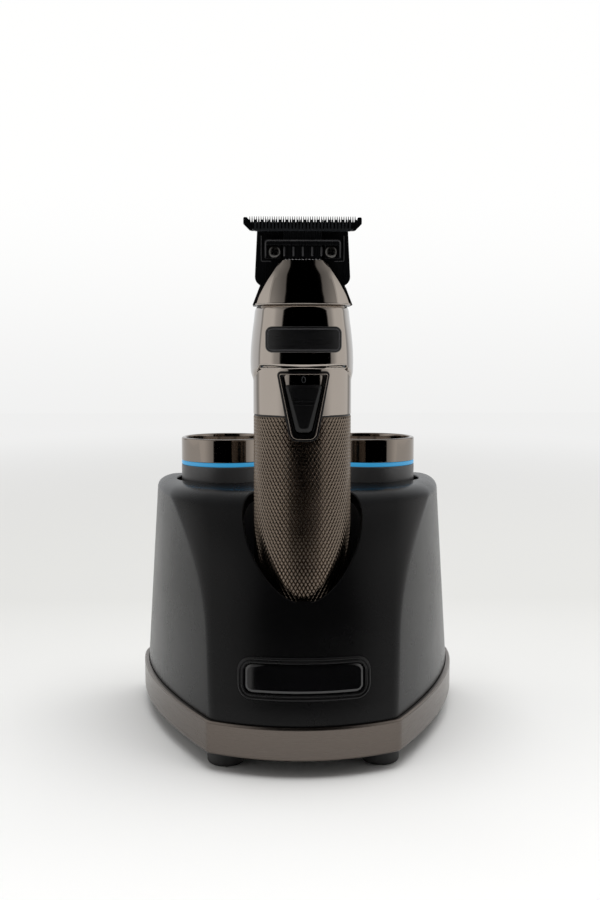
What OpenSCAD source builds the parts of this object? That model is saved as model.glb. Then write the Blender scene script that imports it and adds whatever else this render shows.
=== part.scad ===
// Cordless T-blade hair clipper, docked upright in its charging stand.
// The origin is on the table under the middle of the stand, +Z is up and the front faces -Y.
// All lengths are in millimetres.

/* [Stand base] */
// Width across the metal base band
base_w = 127; // [122:1:134]
// Depth of the base band, front to back
base_d = 118; // [114:1:126]
// Plan radius of the bowed front
front_bow_r = 58; // [52:1:70]
// How far each side narrows from its widest place to the front corner
side_sweep = 30.5; // [27:0.5:33]
// Plan radius of the rear corners
rear_corner_r = 15; // [12:1:20]
// Height of the metal base band
band_h = 11.5; // [9:0.5:14]
// Thickness of the metal base band
band_t = 1.6; // [1.2:0.1:2]
// Thickness of the bottom plate
plate_t = 2.5; // [2:0.25:3.5]
// Height of the rubber feet
foot_h = 6; // [4:0.5:9]
// Radius of the rubber feet
foot_r = 6.5; // [5.5:0.5:7.5]
// Distance of the front feet in from the corners of the front
front_foot_inset = 6; // [4:0.5:9]
// Distance of the rear feet in from the sides
rear_foot_inset = 21.5; // [18:0.5:25]

/* [Stand shell] */
// Height of the top of the shell above the table
shell_top = 92; // [90:1:98]
// Wall thickness of the shell
shell_wall = 2.5; // [2:0.25:3]
// Height at which the front starts to curve back
front_curve_z = 46; // [44:1:50]
// How far the front curves back below the top
front_run = 29; // [26:0.5:31]
// Backward lean of the lower front, in degrees
front_lean = 9; // [8:0.5:11]
// Inward lean of the sides, in degrees
side_lean = 3.5; // [2.5:0.25:4.5]
// Height of the rounded top edge
edge_h = 4.2; // [3:0.2:5]
// Width of the rounded top edge
edge_w = 8; // [6:0.5:9]

/* [Cradle] */
// Distance of the cradle's axis behind the front of the band
cradle_setback = 31; // [30:0.5:33]
// Inner radius of the cradle
cradle_r = 20.9; // [20.5:0.1:22]
// Wall thickness of the cradle liner
liner_t = 1.6; // [1.2:0.1:2]
// Height of the cradle's floor above the table
cradle_floor = 23.7; // [22:0.5:26]
// Depth of the close-fitting socket at the cradle's foot
socket_h = 18; // [14:1:22]

/* [Wells] */
// Distance between the axes of the two wells
well_span = 56.6; // [55:0.2:58]
// Distance of the wells' axes in front of the back of the band
well_setback = 30; // [29:0.5:32]
// Outer radius of the well's rim
well_r = 18.3; // [17.5:0.1:18.6]
// Radius of the bore that a tool stands in
well_bore_r = 13.2; // [12:0.1:14]
// Depth of that bore
well_depth = 40; // [34:1:44]
// Height of the metal rim
rim_h = 8.7; // [7:0.5:10]
// Wall thickness of the metal rim
rim_t = 1.7; // [1.4:0.1:2]
// Height of the light ring
light_h = 2.2; // [1.6:0.2:3]
// Height of the collar that shows above the shell's top
collar_show = 5.6; // [4:0.2:8]
// Width of the gap between the collar and the shell
well_gap = 2; // [1.5:0.1:2.4]

/* [Badge] */
// Width of the badge on the front
badge_w = 45; // [40:1:50]
// Height of the badge
badge_h = 14.4; // [12:0.2:17]
// Height of the badge's lower edge above the band
badge_lift = 8.2; // [6:0.2:9]
// Width of the badge's frame
badge_rim = 2.2; // [1.6:0.2:3]

/* [Clipper body] */
// Radius of the knurled barrel
barrel_r = 17.05; // [16.6:0.05:17.4]
// Length of the knurled barrel
barrel_len = 89.4; // [86:1:94]
// Height of the rounded end cap
cap_h = 7; // [6:0.5:8]
// Height of the upper housing
housing_h = 38; // [36:1:41]
// Half width of the upper housing at its widest
housing_hw = 18.2; // [17.8:0.1:18.8]
// Half width of the upper housing at its top
housing_top_hw = 16.4; // [16:0.1:16.8]
// Half depth of the upper housing's front
housing_front = 17.2; // [17:0.1:17.6]
// Inner radius of the barrel and lower housing
body_bore_r = 15.2; // [15:0.1:15.4]
// Inner radius of the housing's neck
neck_bore_r = 13; // [12.4:0.1:13.2]
// Width of the name plate
plate_w = 25.8; // [24:0.2:28]
// Height of the name plate
plate_h = 7.8; // [7:0.2:9]

/* [Switch] */
// Width of the switch bezel at its top
bezel_w = 18.2; // [17:0.2:19]
// Width of the switch bezel at its lower tip
bezel_tip_w = 9.4; // [8:0.2:10]
// Height of the switch bezel
bezel_h = 23.6; // [22:0.2:24]
// Travel of the slider from off to on
switch_travel = 3.3; // [2.5:0.1:3.5]

/* [Blades] */
// Width of the fixed comb over its end knobs
comb_w = 40.7; // [38:0.5:44]
// Spacing of the fixed comb's teeth
comb_pitch = 0.77; // [0.7:0.01:0.9]
// Width of the moving cutter
cutter_w = 34.6; // [33:0.2:35.6]
// Spacing of the cutter's teeth
cutter_pitch = 1.2; // [1.1:0.05:1.4]
// Travel of the cutter to each side
stroke = 0.8; // [0.6:0.05:0.9]
// Thickness of the fixed blade
blade_t = 1.8; // [1.4:0.1:2.2]
// Height of the comb's tooth tips above the housing's top
tip_rise = 30.4; // [30:0.2:32]
// Width of the fixed blade's stem
stem_w = 33.2; // [32:0.2:34]
// Distance between the two blade screws
blade_screw_span = 19.4; // [19:0.1:20]

/* [Inside the clipper] */
// Radius of the battery cell
cell_r = 9.2; // [8.5:0.1:9.4]
// Length of the battery cell
cell_len = 65.2; // [60:0.5:68]
// Radius of the motor
motor_r = 10.5; // [9.5:0.1:10.8]
// Length of the motor
motor_len = 36; // [33:1:37]

/* [Inside the stand] */
// Radius of the power inlet's bore
inlet_bore_r = 2.75; // [2.5:0.05:3]
// Height of the power inlet above the bottom plate
inlet_rise = 16; // [12:1:20]

/* [Hidden] */
$fn = 96;
eps = 0.01;

// Clearances
fit = 0.1;          // between fixed pieces that seat in each other
slip = 0.3;         // between a moving piece and what it passes
socket_slip = 0.5;  // round the barrel in the cradle's socket

// Heights in the stand
band_top = foot_h + band_h;
plate_top = foot_h + plate_t;
shell_inset = band_t + 2 * fit;
curve_h = shell_top - front_curve_z;

// Plan of the stand
front_y = -base_d / 2;
back_y = base_d / 2;
front_hw = base_w / 2 - side_sweep;
side_run = base_d - rear_corner_r - front_hw * front_hw / (2 * front_bow_r);
least_corner_r = 3;
side_power = 1.75;
front_steps = 12;
side_steps = 9;
corner_steps = 5;

// Cradle and wells
cradle_y = front_y + cradle_setback;
well_x = well_span / 2;
well_y = back_y - well_setback;
collar_top = shell_top + collar_show;
light_top = collar_top + light_h;
rim_top = light_top + rim_h;
well_ledge = 2.6;                      // depth of the ledge below the rim
cup_top = rim_top - well_ledge;
cup_floor = cup_top - well_depth;
cup_base_t = 3;
deck_top = cup_floor - cup_base_t;
deck_t = 2.4;
cup_r = well_r - rim_t - fit;
collar_t = 0.8;

// Screws and bosses of the base
boss_r = 4;
boss_h = 16;
screw_r = 1.5;
screw_head_r = 2.8;
screw_head_h = 1.6;
screw_reach = 12;                      // how far the screws stand above the bottom plate
leg_r = 4.5;
leg_x = 30;
leg_front_y = well_y - 22;
leg_rear_y = well_y + 16;

// Heights in the clipper, above its lowest point
barrel_top = cap_h + barrel_len;
housing_top = barrel_top + housing_h;
tip_z = housing_top + tip_rise;
shoulder_z = barrel_top + 11.6;        // where the round collar ends
waist_z = barrel_top + 15.3;           // where the flat front begins
neck_z = barrel_top + 16.4;            // where the inner bore narrows
nose_h = 15.5;
nose_top = housing_top + nose_h;
clip_z = cradle_floor + slip;

// Switch
bezel_top = barrel_top + 15.5;
bezel_r = barrel_r + 1.05;
bezel_back_r = body_bore_r + fit;
pocket_r = barrel_r - 0.65;
bezel_rim = 2;
bezel_top_rim = 0.8;
slider_top = bezel_top - bezel_top_rim - slip - switch_travel;
slider_h = 16.1;
slider_stem_hw = 1.5;
slider_stem_h = 4;

// Blades, measured forwards from the clipper's axis
blade_back = 2.4;
blade_front = blade_back + blade_t;
cutter_gap = 0.1;
cutter_t = 1.6;
cutter_front = blade_front + cutter_gap + cutter_t;
guide_t = 0.9;
stem_hw = 6.5;
stem_bottom = housing_top + 6.6;
comb_root = tip_z - 3.1;
comb_base = tip_z - 6.3;
cutter_root = tip_z - 3.6;
cutter_base = tip_z - 5.2;
blade_screw_z = nose_top + 2.6;

// Drive
shaft_r = 1.15;
pin_r = 1.2;
yoke_gap = 2 * stroke + pin_r + fit;
yoke_bottom = stem_bottom - 5.2;
yoke_top = stem_bottom - slip;
eccentric_r = 5;

// Inside the clipper
chassis_r = body_bore_r - slip;
chassis_neck_r = neck_bore_r - slip;
cell_bottom = cap_h + 3.2;
motor_top = housing_top - 16.4;
motor_bottom = motor_top - motor_len;
board_back = motor_r + 1.2;
board_t = 1.2;
board_hw = 6;
board_front = board_back + board_t;
board_bottom = motor_bottom - 4;
board_top = neck_z - slip;

// ---------------------------------------------------------------- helpers

// A closed solid through level outlines: each level is [height, points], counted anticlockwise.
module loft(levels) {
    n = len(levels[0][1]);
    last = len(levels) - 1;
    polyhedron(
        points = [for (l = levels) for (p = l[1]) [p[0], p[1], l[0]]],
        faces = concat(
            [[for (j = [0:n - 1]) j]],
            [[for (j = [n - 1:-1:0]) last * n + j]],
            [for (k = [0:last - 1]) for (j = [0:n - 1])
                let (a = k * n + j, b = k * n + (j + 1) % n)
                each [[a, a + n, b], [b, a + n, b + n]]]
        )
    );
}

module tube(r_out, r_in, z0, z1) {
    translate([0, 0, z0]) difference() {
        cylinder(r = r_out, h = z1 - z0);
        translate([0, 0, -1]) cylinder(r = r_in, h = z1 - z0 + 2);
    }
}

module rod(r, z0, z1) {
    translate([0, 0, z0]) cylinder(r = r, h = z1 - z0);
}

module block(x0, x1, y0, y1, z0, z1) {
    translate([x0, y0, z0]) cube([x1 - x0, y1 - y0, z1 - z0]);
}

// Points of a convex outline with each corner rounded
function rounded(pts, r, steps = 6) = [
    for (k = [0:len(pts) - 1]) let (
        p = pts[k],
        a = pts[(k + len(pts) - 1) % len(pts)] - p,
        b = pts[(k + 1) % len(pts)] - p,
        ua = a / norm(a),
        ub = b / norm(b),
        half = acos(ua * ub) / 2,
        c = p + (ua + ub) / norm(ua + ub) * r / sin(half),
        start = p + ua * r / tan(half) - c,
        turn = (ua[0] * ub[1] - ua[1] * ub[0]) < 0 ? 180 - 2 * half : 2 * half - 180
    ) for (s = [0:steps]) let (t = turn * s / steps)
        c + [start[0] * cos(t) - start[1] * sin(t), start[0] * sin(t) + start[1] * cos(t)]
];

function box_points(hw, z0, z1) = [[-hw, z0], [hw, z0], [hw, z1], [-hw, z1]];

// An outline drawn in x and z, extruded from y0 back to y1
module upright(points, y0, y1) {
    translate([0, y1, 0]) rotate([90, 0, 0]) linear_extrude(y1 - y0) polygon(points);
}

module in_cradle() {
    translate([0, cradle_y, 0]) children();
}

module in_clipper() {
    translate([0, cradle_y, clip_z]) children();
}

module at_well(side) {
    translate([side * well_x, well_y, 0]) children();
}

module pair_x(dx) {
    for (side = [-1, 1]) translate([side * dx, 0, 0]) children();
}

// ---------------------------------------------------------------- stand outlines

// Half width of the stand's plan at depth y, before it is set in
function side_x(y) =
    base_w / 2 - side_sweep * pow(max(0, back_y - rear_corner_r - y) / side_run, side_power);

// Where the bowed front meets the side, found by repeated substitution
function ridge_x(y0, inset, x = 40, n = 24) =
    n == 0 ? x : ridge_x(y0, inset, side_x(y0 + x * x / (2 * front_bow_r)) - inset, n - 1);

function half_plan(y0, inset) = let (
    xr = ridge_x(y0, inset),
    yr = y0 + xr * xr / (2 * front_bow_r),
    rc = max(rear_corner_r - inset, least_corner_r),
    ys = back_y - inset - rc
) concat(
    [for (k = [0:front_steps]) let (x = xr * k / front_steps) [x, y0 + x * x / (2 * front_bow_r)]],
    [for (k = [1:side_steps]) let (y = yr + (ys - yr) * k / side_steps) [side_x(y) - inset, y]],
    [for (k = [1:corner_steps]) let (t = 90 * k / corner_steps)
        [base_w / 2 - inset - rc * (1 - cos(t)), ys + rc * sin(t)]]
);

function plan(y0, inset) = let (h = half_plan(y0, inset))
    concat(h, [for (k = [len(h) - 1:-1:1]) [-h[k][0], h[k][1]]]);

// Foremost point of the shell's front at height z
function shell_front(z) =
    front_y + shell_inset + tan(front_lean) * max(0, z - band_top)
    + (z > front_curve_z
        ? front_run * (1 - sqrt(max(0, 1 - pow((z - front_curve_z) / curve_h, 2)))) : 0);

// How far the shell's sides are set in at height z
function shell_side(z) = let (e = max(0, z - shell_top + edge_h) / edge_h)
    shell_inset + tan(side_lean) * max(0, z - band_top) + edge_w * (1 - sqrt(max(0, 1 - e * e)));

// The shell's surface, moved in by d; t is the angle round the curve at the top
function shell_level(z, t, d) =
    [z - d * sin(t), plan(shell_front(z) + d * cos(t), shell_side(z) + d)];

function shell_levels(bottom, d) = concat(
    [for (z = [bottom, band_top, front_curve_z]) shell_level(z, 0, d)],
    [for (t = [12, 24, 36, 48, 56, 62, 66, 70, 74, 78, 82, 86, 90])
        shell_level(front_curve_z + curve_h * sin(t), t, d)]
);

// A slice of the lower front, moved in by d
module front_slab(d) {
    loft([for (z = [band_top + 1, front_curve_z]) shell_level(z, 0, d)]);
}

// ---------------------------------------------------------------- stand

shell_boss_at = [
    for (side = [-1, 1]) for (y = [back_y - 27, front_y + 34])
        [side * (side_x(y) - shell_inset - shell_wall - boss_r + 1.6), y]
];
leg_at = [for (side = [-1, 1]) for (y = [leg_front_y, leg_rear_y]) [side * leg_x, y]];

module stand_shell() {
    color("#1b1b1d") difference() {
        union() {
            difference() {
                loft(shell_levels(plate_top, 0));
                loft(shell_levels(plate_top - 1, shell_wall));
            }
            for (p = shell_boss_at) translate(p) rod(boss_r, plate_top, plate_top + boss_h);
        }
        in_cradle() rod(cradle_r, plate_top - 1, shell_top + 1);
        for (side = [-1, 1]) at_well(side) rod(well_r + well_gap, shell_top - 20, shell_top + 1);
        for (p = shell_boss_at) translate(p) rod(screw_r + 0.05, plate_top - 1, plate_top + screw_reach + 1);
        translate([0, back_y + 1, plate_top + inlet_rise]) rotate([90, 0, 0])
            cylinder(r = inlet_r + fit, h = 12);
    }
}

module base_band() {
    lip = 0.8;
    outer = [[foot_h, lip], [foot_h + lip, 0], [band_top - lip, 0], [band_top, lip]];
    color("#5c514b") difference() {
        loft([for (l = outer) [l[0], plan(front_y + l[1], l[1])]]);
        loft([for (z = [foot_h - 1, band_top + 1]) [z, plan(front_y + band_t, band_t)]]);
    }
}

module bottom_plate() {
    inset = band_t + 2 * fit;
    color("#1b1b1d") difference() {
        translate([0, 0, foot_h]) linear_extrude(plate_t) polygon(plan(front_y + inset, inset));
        for (p = concat(shell_boss_at, leg_at)) translate(p) {
            rod(screw_head_r + fit, foot_h - 1, foot_h + screw_head_h);
            rod(screw_r + 0.2, foot_h, plate_top + 1);
        }
    }
}

module foot(x, y) {
    edge = 1.4;
    color("#141414") translate([x, y, 0]) rotate_extrude() polygon(concat(
        [[0, foot_h], [0, 0]],
        [for (t = [-90:15:0]) [foot_r - edge + edge * cos(t), edge + edge * sin(t)]],
        [[foot_r, foot_h]]
    ));
}

front_foot_x = front_hw - front_foot_inset;
front_foot_y = front_y + 18.5;
rear_foot_x = base_w / 2 - rear_foot_inset;
rear_foot_y = back_y - 19;

module cradle_cup() {
    wall_r = cradle_r + liner_t;
    socket_r = barrel_r + socket_slip;
    color("#161618") intersection() {
        difference() {
            in_cradle() rod(wall_r, plate_top, shell_top + 2);
            in_cradle() rotate_extrude() polygon([
                [0, cradle_floor], [socket_r, cradle_floor], [socket_r, cradle_floor + socket_h],
                [cradle_r, cradle_floor + socket_h + 5], [cradle_r, shell_top + 3], [0, shell_top + 3]
            ]);
            in_cradle() rod(wall_r - 1.8, plate_top - 1, cradle_floor - 3.7);
            in_cradle() pair_x(contact_dx) rod(contact_r + fit, plate_top, cradle_floor + 1);
        }
        loft(shell_levels(plate_top - 1, shell_wall + fit));
    }
}

contact_dx = 5;
contact_r = 1.1;
contact_recess = 0.5;

module cradle_board() {
    color("#1f5a34") in_cradle() difference() {
        block(-9, 9, -6, 6, cradle_floor - 5, cradle_floor - 3.8);
        pair_x(contact_dx) rod(contact_r + 0.05, cradle_floor - 6, cradle_floor);
    }
}

module cradle_contacts() {
    color("#c9a24a") in_cradle() pair_x(contact_dx)
        rod(contact_r, cradle_floor - 5, clip_z + contact_recess - slip);
}

badge_z = band_top + badge_lift;
badge_corner = 5;
badge_proud = 1.1;

module badge_frame() {
    hw = badge_w / 2;
    color("#2a2a2c") intersection() {
        difference() {
            upright(rounded(box_points(hw, badge_z, badge_z + badge_h), badge_corner), front_y - 5, 0);
            upright(rounded(box_points(hw - badge_rim, badge_z + badge_rim, badge_z + badge_h - badge_rim),
                badge_corner - badge_rim), front_y - 6, 1);
        }
        difference() {
            front_slab(-badge_proud);
            front_slab(-0.02);
        }
    }
}

module badge_plate() {
    inset = badge_rim + fit;
    color("#0c0c0e") intersection() {
        upright(rounded(box_points(badge_w / 2 - inset, badge_z + inset, badge_z + badge_h - inset),
            badge_corner - badge_rim), front_y - 5, 0);
        difference() {
            front_slab(-badge_proud + 0.35);
            front_slab(-0.02);
        }
    }
}

module inner_deck() {
    inset = shell_side(deck_top) + shell_wall + 0.4;
    color("#29292b") difference() {
        union() {
            intersection() {
                translate([0, 0, deck_top - deck_t]) linear_extrude(deck_t)
                    polygon(plan(shell_front(deck_top) + shell_wall + 0.4, inset));
                block(-base_w, base_w, cradle_y + cradle_r + liner_t + 1, base_d,
                    deck_top - deck_t - 1, deck_top + 1);
            }
            for (p = leg_at) translate(p) rod(leg_r, plate_top, deck_top - deck_t);
        }
        for (p = leg_at) translate(p) rod(screw_r + 0.05, plate_top - 1, plate_top + screw_reach + 1);
        for (side = [-1, 1]) at_well(side) pair_x(contact_dx)
            rod(contact_r + 0.4, deck_top - deck_t - 1, deck_top + 1);
    }
}

ballast_hw = leg_x - leg_r - 1.5;
ballast_t = 4;
ballast_rear_y = leg_rear_y - 4;

module ballast_plate() {
    color("#77797c")
        block(-ballast_hw, ballast_hw, leg_front_y, ballast_rear_y, plate_top, plate_top + ballast_t);
}

module dock_board() {
    z0 = plate_top + ballast_t;
    standoff_h = 2;
    hw = ballast_hw - 2;
    color("#1f5a34") union() {
        block(-hw, hw, leg_front_y + 2, ballast_rear_y - 2, z0 + standoff_h, z0 + standoff_h + 1.6);
        for (x = [4 - hw, hw - 4]) for (y = [leg_front_y + 6, ballast_rear_y - 6])
            translate([x, y, 0]) rod(2, z0, z0 + standoff_h);
    }
}

inlet_r = 4.6;
inlet_depth = 9;

module power_inlet() {
    face_y = back_y - shell_side(plate_top + inlet_rise) - 0.6;
    z = plate_top + inlet_rise;
    color("#202022") difference() {
        union() {
            translate([0, face_y, z]) rotate([90, 0, 0]) cylinder(r = inlet_r, h = inlet_depth + 3);
            block(-6, 6, face_y - inlet_depth - 3, face_y - 4, plate_top, z - 1);
        }
        translate([0, face_y + 1, z]) rotate([90, 0, 0]) cylinder(r = inlet_bore_r, h = inlet_depth + 1);
    }
}

module base_screws() {
    color("#8c8c90") for (p = concat(shell_boss_at, leg_at)) translate(p) {
        rod(screw_head_r, foot_h, foot_h + screw_head_h);
        rod(screw_r, foot_h + screw_head_h, plate_top + screw_reach);
    }
}

// ---------------------------------------------------------------- wells

module well_rim(side) {
    edge = 0.8;
    color("#8a7d74") at_well(side) rotate_extrude() polygon(concat(
        [[well_r - rim_t, light_top], [well_r, light_top]],
        [for (t = [0:15:90]) [well_r - edge + edge * cos(t), rim_top - edge + edge * sin(t)]],
        [for (t = [90:15:180]) [well_r - rim_t + edge + edge * cos(t), rim_top - edge + edge * sin(t)]]
    ));
}

module light_ring(side) {
    color("#2f9fe0") at_well(side) tube(well_r - 0.15, cup_r + fit, collar_top, light_top);
}

module well_collar(side) {
    color("#2b2b2e") at_well(side) difference() {
        tube(well_r, cup_r + fit, cup_floor, collar_top);
        tube(well_r - collar_t, cup_r, collar_top - 6, collar_top + 1);
    }
}

module led_strip(side) {
    r = cup_r + fit;
    color("#dfe6ea") at_well(side) tube(r + 0.45, r, collar_top - 5.8, collar_top - fit);
}

module well_cup(side) {
    lip = 0.8;
    color("#121214") at_well(side) difference() {
        union() {
            rod(cup_r, deck_top, cup_top);
            rod(well_r, deck_top, cup_floor);
        }
        rod(well_bore_r, cup_floor, cup_top + 1);
        rod(well_bore_r + lip, cup_top - lip, cup_top + 1);
        pair_x(contact_dx) rod(contact_r + fit, deck_top - 1, cup_floor + 1);
    }
}

module well_contacts(side) {
    color("#c9a24a") at_well(side) pair_x(contact_dx)
        rod(contact_r, deck_top - deck_t, cup_floor);
}

// ---------------------------------------------------------------- clipper body

// The body's section goes by the way its surface faces, from 0 at the front to 180 at the rear. Share 0 is
// round. Share 1 has a broad front, close corners, and flanks that are widest behind the axis.
front_bow = 27.3;
corner_bow = 9.45;
flank_bow = 44;
front_turn = 21;
corner_turn = 69;
widest_back = 0.33;                    // widest point behind the axis, as a share of the front's depth
facing = concat([for (a = [0:7:21]) a], [for (a = [29:8:69]) a], [for (a = [76:7:90]) a],
    [for (a = [100:10:180]) a]);

function turned(bow, a0, a1) = bow * [sin(a1) - sin(a0), cos(a0) - cos(a1)];

function squared(a) = turned(front_bow, 0, min(a, front_turn))
    + (a > front_turn ? turned(corner_bow, front_turn, min(a, corner_turn)) : [0, 0])
    + (a > corner_turn ? turned(flank_bow, corner_turn, a) : [0, 0]);

function section(w, front, rear, share) = let (
    full = squared(90),
    back = widest_back * front,
    half = [for (a = facing) let (
        round = [w * sin(a), -(a < 90 ? front : rear) * cos(a)],
        form = a < 90 ? [w * squared(a).x / full.x, -front + (front + back) * squared(a).y / full.y]
            : [w * sin(a), back - (rear - back) * cos(a)]
    ) round + (form - round) * share]
) concat(half, [for (k = [len(half) - 2:-1:1]) [-half[k].x, half[k].y]]);

module switch_opening(grow) {
    upright(bezel_outline(-grow), -bezel_r - 3, -pocket_r / 2);
}

function bezel_outline(inset) = rounded([
    [-bezel_tip_w / 2 + inset, bezel_top - bezel_h + inset],
    [bezel_tip_w / 2 - inset, bezel_top - bezel_h + inset],
    [bezel_w / 2 - inset, bezel_top - inset],
    [-bezel_w / 2 + inset, bezel_top - inset]
], 2.6);

module barrel_sleeve() {
    color("#6b5f57") in_clipper() difference() {
        tube(barrel_r, body_bore_r, cap_h, barrel_top);
        switch_opening(fit);
    }
}

module upper_housing() {
    w1 = housing_hw;
    w0 = barrel_r + fit;
    rear = barrel_r;
    rear_top = 14.4;
    span = housing_top - waist_z;
    color("#8a7d74") in_clipper() difference() {
        loft([
            [barrel_top, section(w0, w0, w0, 0)],
            [shoulder_z, section(w0, w0, w0, 0)],
            [(shoulder_z + waist_z) / 2, section((w0 + w1) / 2, housing_front, rear, 0.5)],
            [waist_z, section(w1 - 0.1, housing_front, rear, 0.9)],
            [waist_z + span * 0.15, section(w1, housing_front, rear, 1)],
            [waist_z + span * 0.3, section(w1 - 0.1, housing_front, rear, 1)],
            [waist_z + span * 0.6, section((w1 + housing_top_hw) / 2 + 0.2, housing_front, rear - 0.8, 1)],
            [waist_z + span * 0.8, section(housing_top_hw + 0.5, housing_front - 0.4, rear - 1.6, 1)],
            [housing_top, section(housing_top_hw, housing_front - 1.4, rear_top, 1)]
        ]);
        rod(body_bore_r, barrel_top - 1, neck_z);
        rod(neck_bore_r, barrel_top, housing_top + 1);
        switch_opening(fit);
        name_plate_form(fit);
    }
}

name_r = 32;
name_t = 2.9;                          // thick enough at its ends to reach the housing
name_rise = 11.1;                      // middle of the plate above the waist
name_z = waist_z + name_rise;

// The name plate's own space, grown all round
module name_plate_form(grow) {
    intersection() {
        upright(rounded(box_points(plate_w / 2 + grow, name_z - plate_h / 2 - grow,
            name_z + plate_h / 2 + grow), 2.2), -housing_front - 4, -2);
        translate([0, name_r - housing_front, name_z - plate_h]) difference() {
            cylinder(r = name_r + 0.7 + grow * 20, h = 2 * plate_h);
            translate([0, 0, -1]) cylinder(r = name_r + 0.7 - name_t - grow, h = 2 * plate_h + 2);
        }
    }
}

module name_plate() {
    color("#101012") in_clipper() name_plate_form(0);
}

module end_cap() {
    edge = 6;
    color("#1a1a1c") in_clipper() difference() {
        rotate_extrude() polygon(concat(
            [[0, cap_h], [0, 0]],
            [for (t = [-90:10:0]) [barrel_r - edge + edge * cos(t), edge + edge * sin(t)]],
            [[barrel_r, cap_h - fit], [chassis_r, cap_h - fit], [chassis_r, cap_h]]
        ));
        pair_x(contact_dx) rod(contact_r + 1, -1, contact_recess + 0.6);
    }
}

module end_contacts() {
    color("#c9a24a") in_clipper() pair_x(contact_dx)
        rod(contact_r + 0.9, contact_recess, contact_recess + 0.6);
}

module chassis() {
    cell_top = cell_bottom + cell_len + slip;
    color("#232325") in_clipper() difference() {
        union() {
            rod(chassis_r, cap_h + fit, neck_z - slip);
            rod(chassis_neck_r, neck_z - slip, motor_top + 2.2);
        }
        rod(cell_r + slip, cell_bottom - fit, cell_top);
        rod(motor_r + fit, motor_bottom - fit, motor_top + fit);
        rod(3.2, motor_top - 1, motor_top + 4);
        pair_x(motor_screw_dx) rod(1.1, motor_top - 1, motor_top + 4);
        block(-20, 20, -20, -2, cell_bottom + 2, cell_top - 2);
        block(-20, 20, -20, -2, motor_bottom + 2, motor_top - 2);
        block(-board_hw - fit, board_hw + fit, -20, -board_back, board_bottom - fit, motor_top + 4);
    }
}

module battery_cell() {
    color("#3f7fb5") in_clipper() union() {
        rod(cell_r, cell_bottom, cell_bottom + cell_len - 1);
        rod(2.8, cell_bottom + cell_len - 1, cell_bottom + cell_len);
    }
}

motor_screw_dx = 6.5;

module motor_can() {
    color("#a9abae") in_clipper() difference() {
        union() {
            rod(motor_r, motor_bottom, motor_top);
            rod(3, motor_top, motor_top + 1.6);
        }
        rod(shaft_r + 0.05, motor_top - 12, motor_top + 3);
        pair_x(motor_screw_dx) rod(1.02, motor_top - 5, motor_top + 1);
    }
}

module motor_screws() {
    color("#8c8c90") in_clipper() pair_x(motor_screw_dx) {
        rod(1, motor_top - 4.5, motor_top + 2.3);
        rod(1.9, motor_top + 2.3, motor_top + 3.5);
    }
}

module circuit_board() {
    color("#1f5a34") in_clipper()
        block(-board_hw, board_hw, -board_front, -board_back - 0.05, board_bottom, board_top);
}

switch_z = slider_top - slider_h + 9.5;

module micro_switch() {
    color("#3a3a3d") in_clipper()
        block(-2.6, 2.6, -board_front - 1.3, -board_front, switch_z - 4, switch_z + 4);
}

module switch_bezel() {
    floor_z = bezel_top - bezel_top_rim;
    color("#0e0e10") in_clipper() difference() {
        intersection() {
            upright(bezel_outline(0), -bezel_r - 2, -pocket_r / 2);
            tube(bezel_r, bezel_back_r, bezel_top - bezel_h - 1, bezel_top + 1);
        }
        intersection() {
            upright(slider_outline(0, floor_z), -bezel_r - 3, -pocket_r / 2);
            tube(bezel_r + 2, pocket_r, bezel_top - bezel_h, bezel_top);
        }
        block(-slider_stem_hw - slip, slider_stem_hw + slip, -pocket_r - 2, -8,
            switch_z - slider_stem_h / 2 - slip, switch_z + slider_stem_h / 2 + switch_travel + slip);
    }
}

// The tapered pocket that the slider runs in, up to a given height
function slider_outline(inset, top) = let (
    low = slider_top - slider_h - slip,
    slope = (bezel_w - bezel_tip_w) / 2 / bezel_h,
    hw = bezel_tip_w / 2 - bezel_rim + slope * (low - bezel_top + bezel_h)
) rounded([
    [-hw + inset, low + inset],
    [hw - inset, low + inset],
    [hw + slope * (top - low) - inset, top - inset],
    [-hw - slope * (top - low) + inset, top - inset]
], 1.6);

module switch_slider() {
    color("#1c1c1f") in_clipper() union() {
        intersection() {
            upright(slider_outline(slip, slider_top + slip), -bezel_r - 3, -pocket_r / 2);
            tube(bezel_r + 0.5, pocket_r + 0.2, slider_top - slider_h - 1, slider_top + 1);
        }
        block(-slider_stem_hw, slider_stem_hw, -pocket_r - 0.6, -board_front - 1.6,
            switch_z - slider_stem_h / 2, switch_z + slider_stem_h / 2);
    }
}

// ---------------------------------------------------------------- head and blades

nose_t = 1.2;

// Section of the cap: half width at its back, half width at its ridges, and where its front lies
function head_section(hw, edge, y0) = concat([[-hw, -nose_back]],
    [for (x = [-edge, -edge / 2, 0, edge / 2, edge]) [x, y0 + x * x / (2 * front_bow)]],
    [[hw, -nose_back]]
);

nose_top_hw = 7.3;
nose_mid_hw = 13.7;
nose_top_edge = 6.4;                   // half widths at the ridges between the front and the flanks
nose_mid_edge = 9.4;
nose_low_edge = 12;
nose_mid_z = housing_top + 6.6;
nose_low_hw = housing_top_hw - 0.2;
nose_back = blade_front + 0.2;

module nose_form(t) {
    front = housing_front - 1.4;
    loft([
        [housing_top + fit, head_section(nose_low_hw - t, nose_low_edge - t, -front + t)],
        [nose_mid_z, head_section(nose_mid_hw - t, nose_mid_edge - t, -front + 3.4 + t)],
        [nose_top + (t > 0 ? 1 : 0),
            head_section(nose_top_hw - t, nose_top_edge - t, -cutter_front - guide_t - 1.6 + t)]
    ]);
}

module nose_cap() {
    color("#8a7d74") in_clipper() difference() {
        nose_form(0);
        translate([0, 0, -fit - eps]) nose_form(nose_t);
        block(-stem_hw - stroke - 0.9, stem_hw + stroke + 0.9, -cutter_front - slip, 0,
            housing_top - 1, nose_top + 1);
    }
}

frame_rise = 5;                        // top of the head's frame above the blade screws

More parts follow.
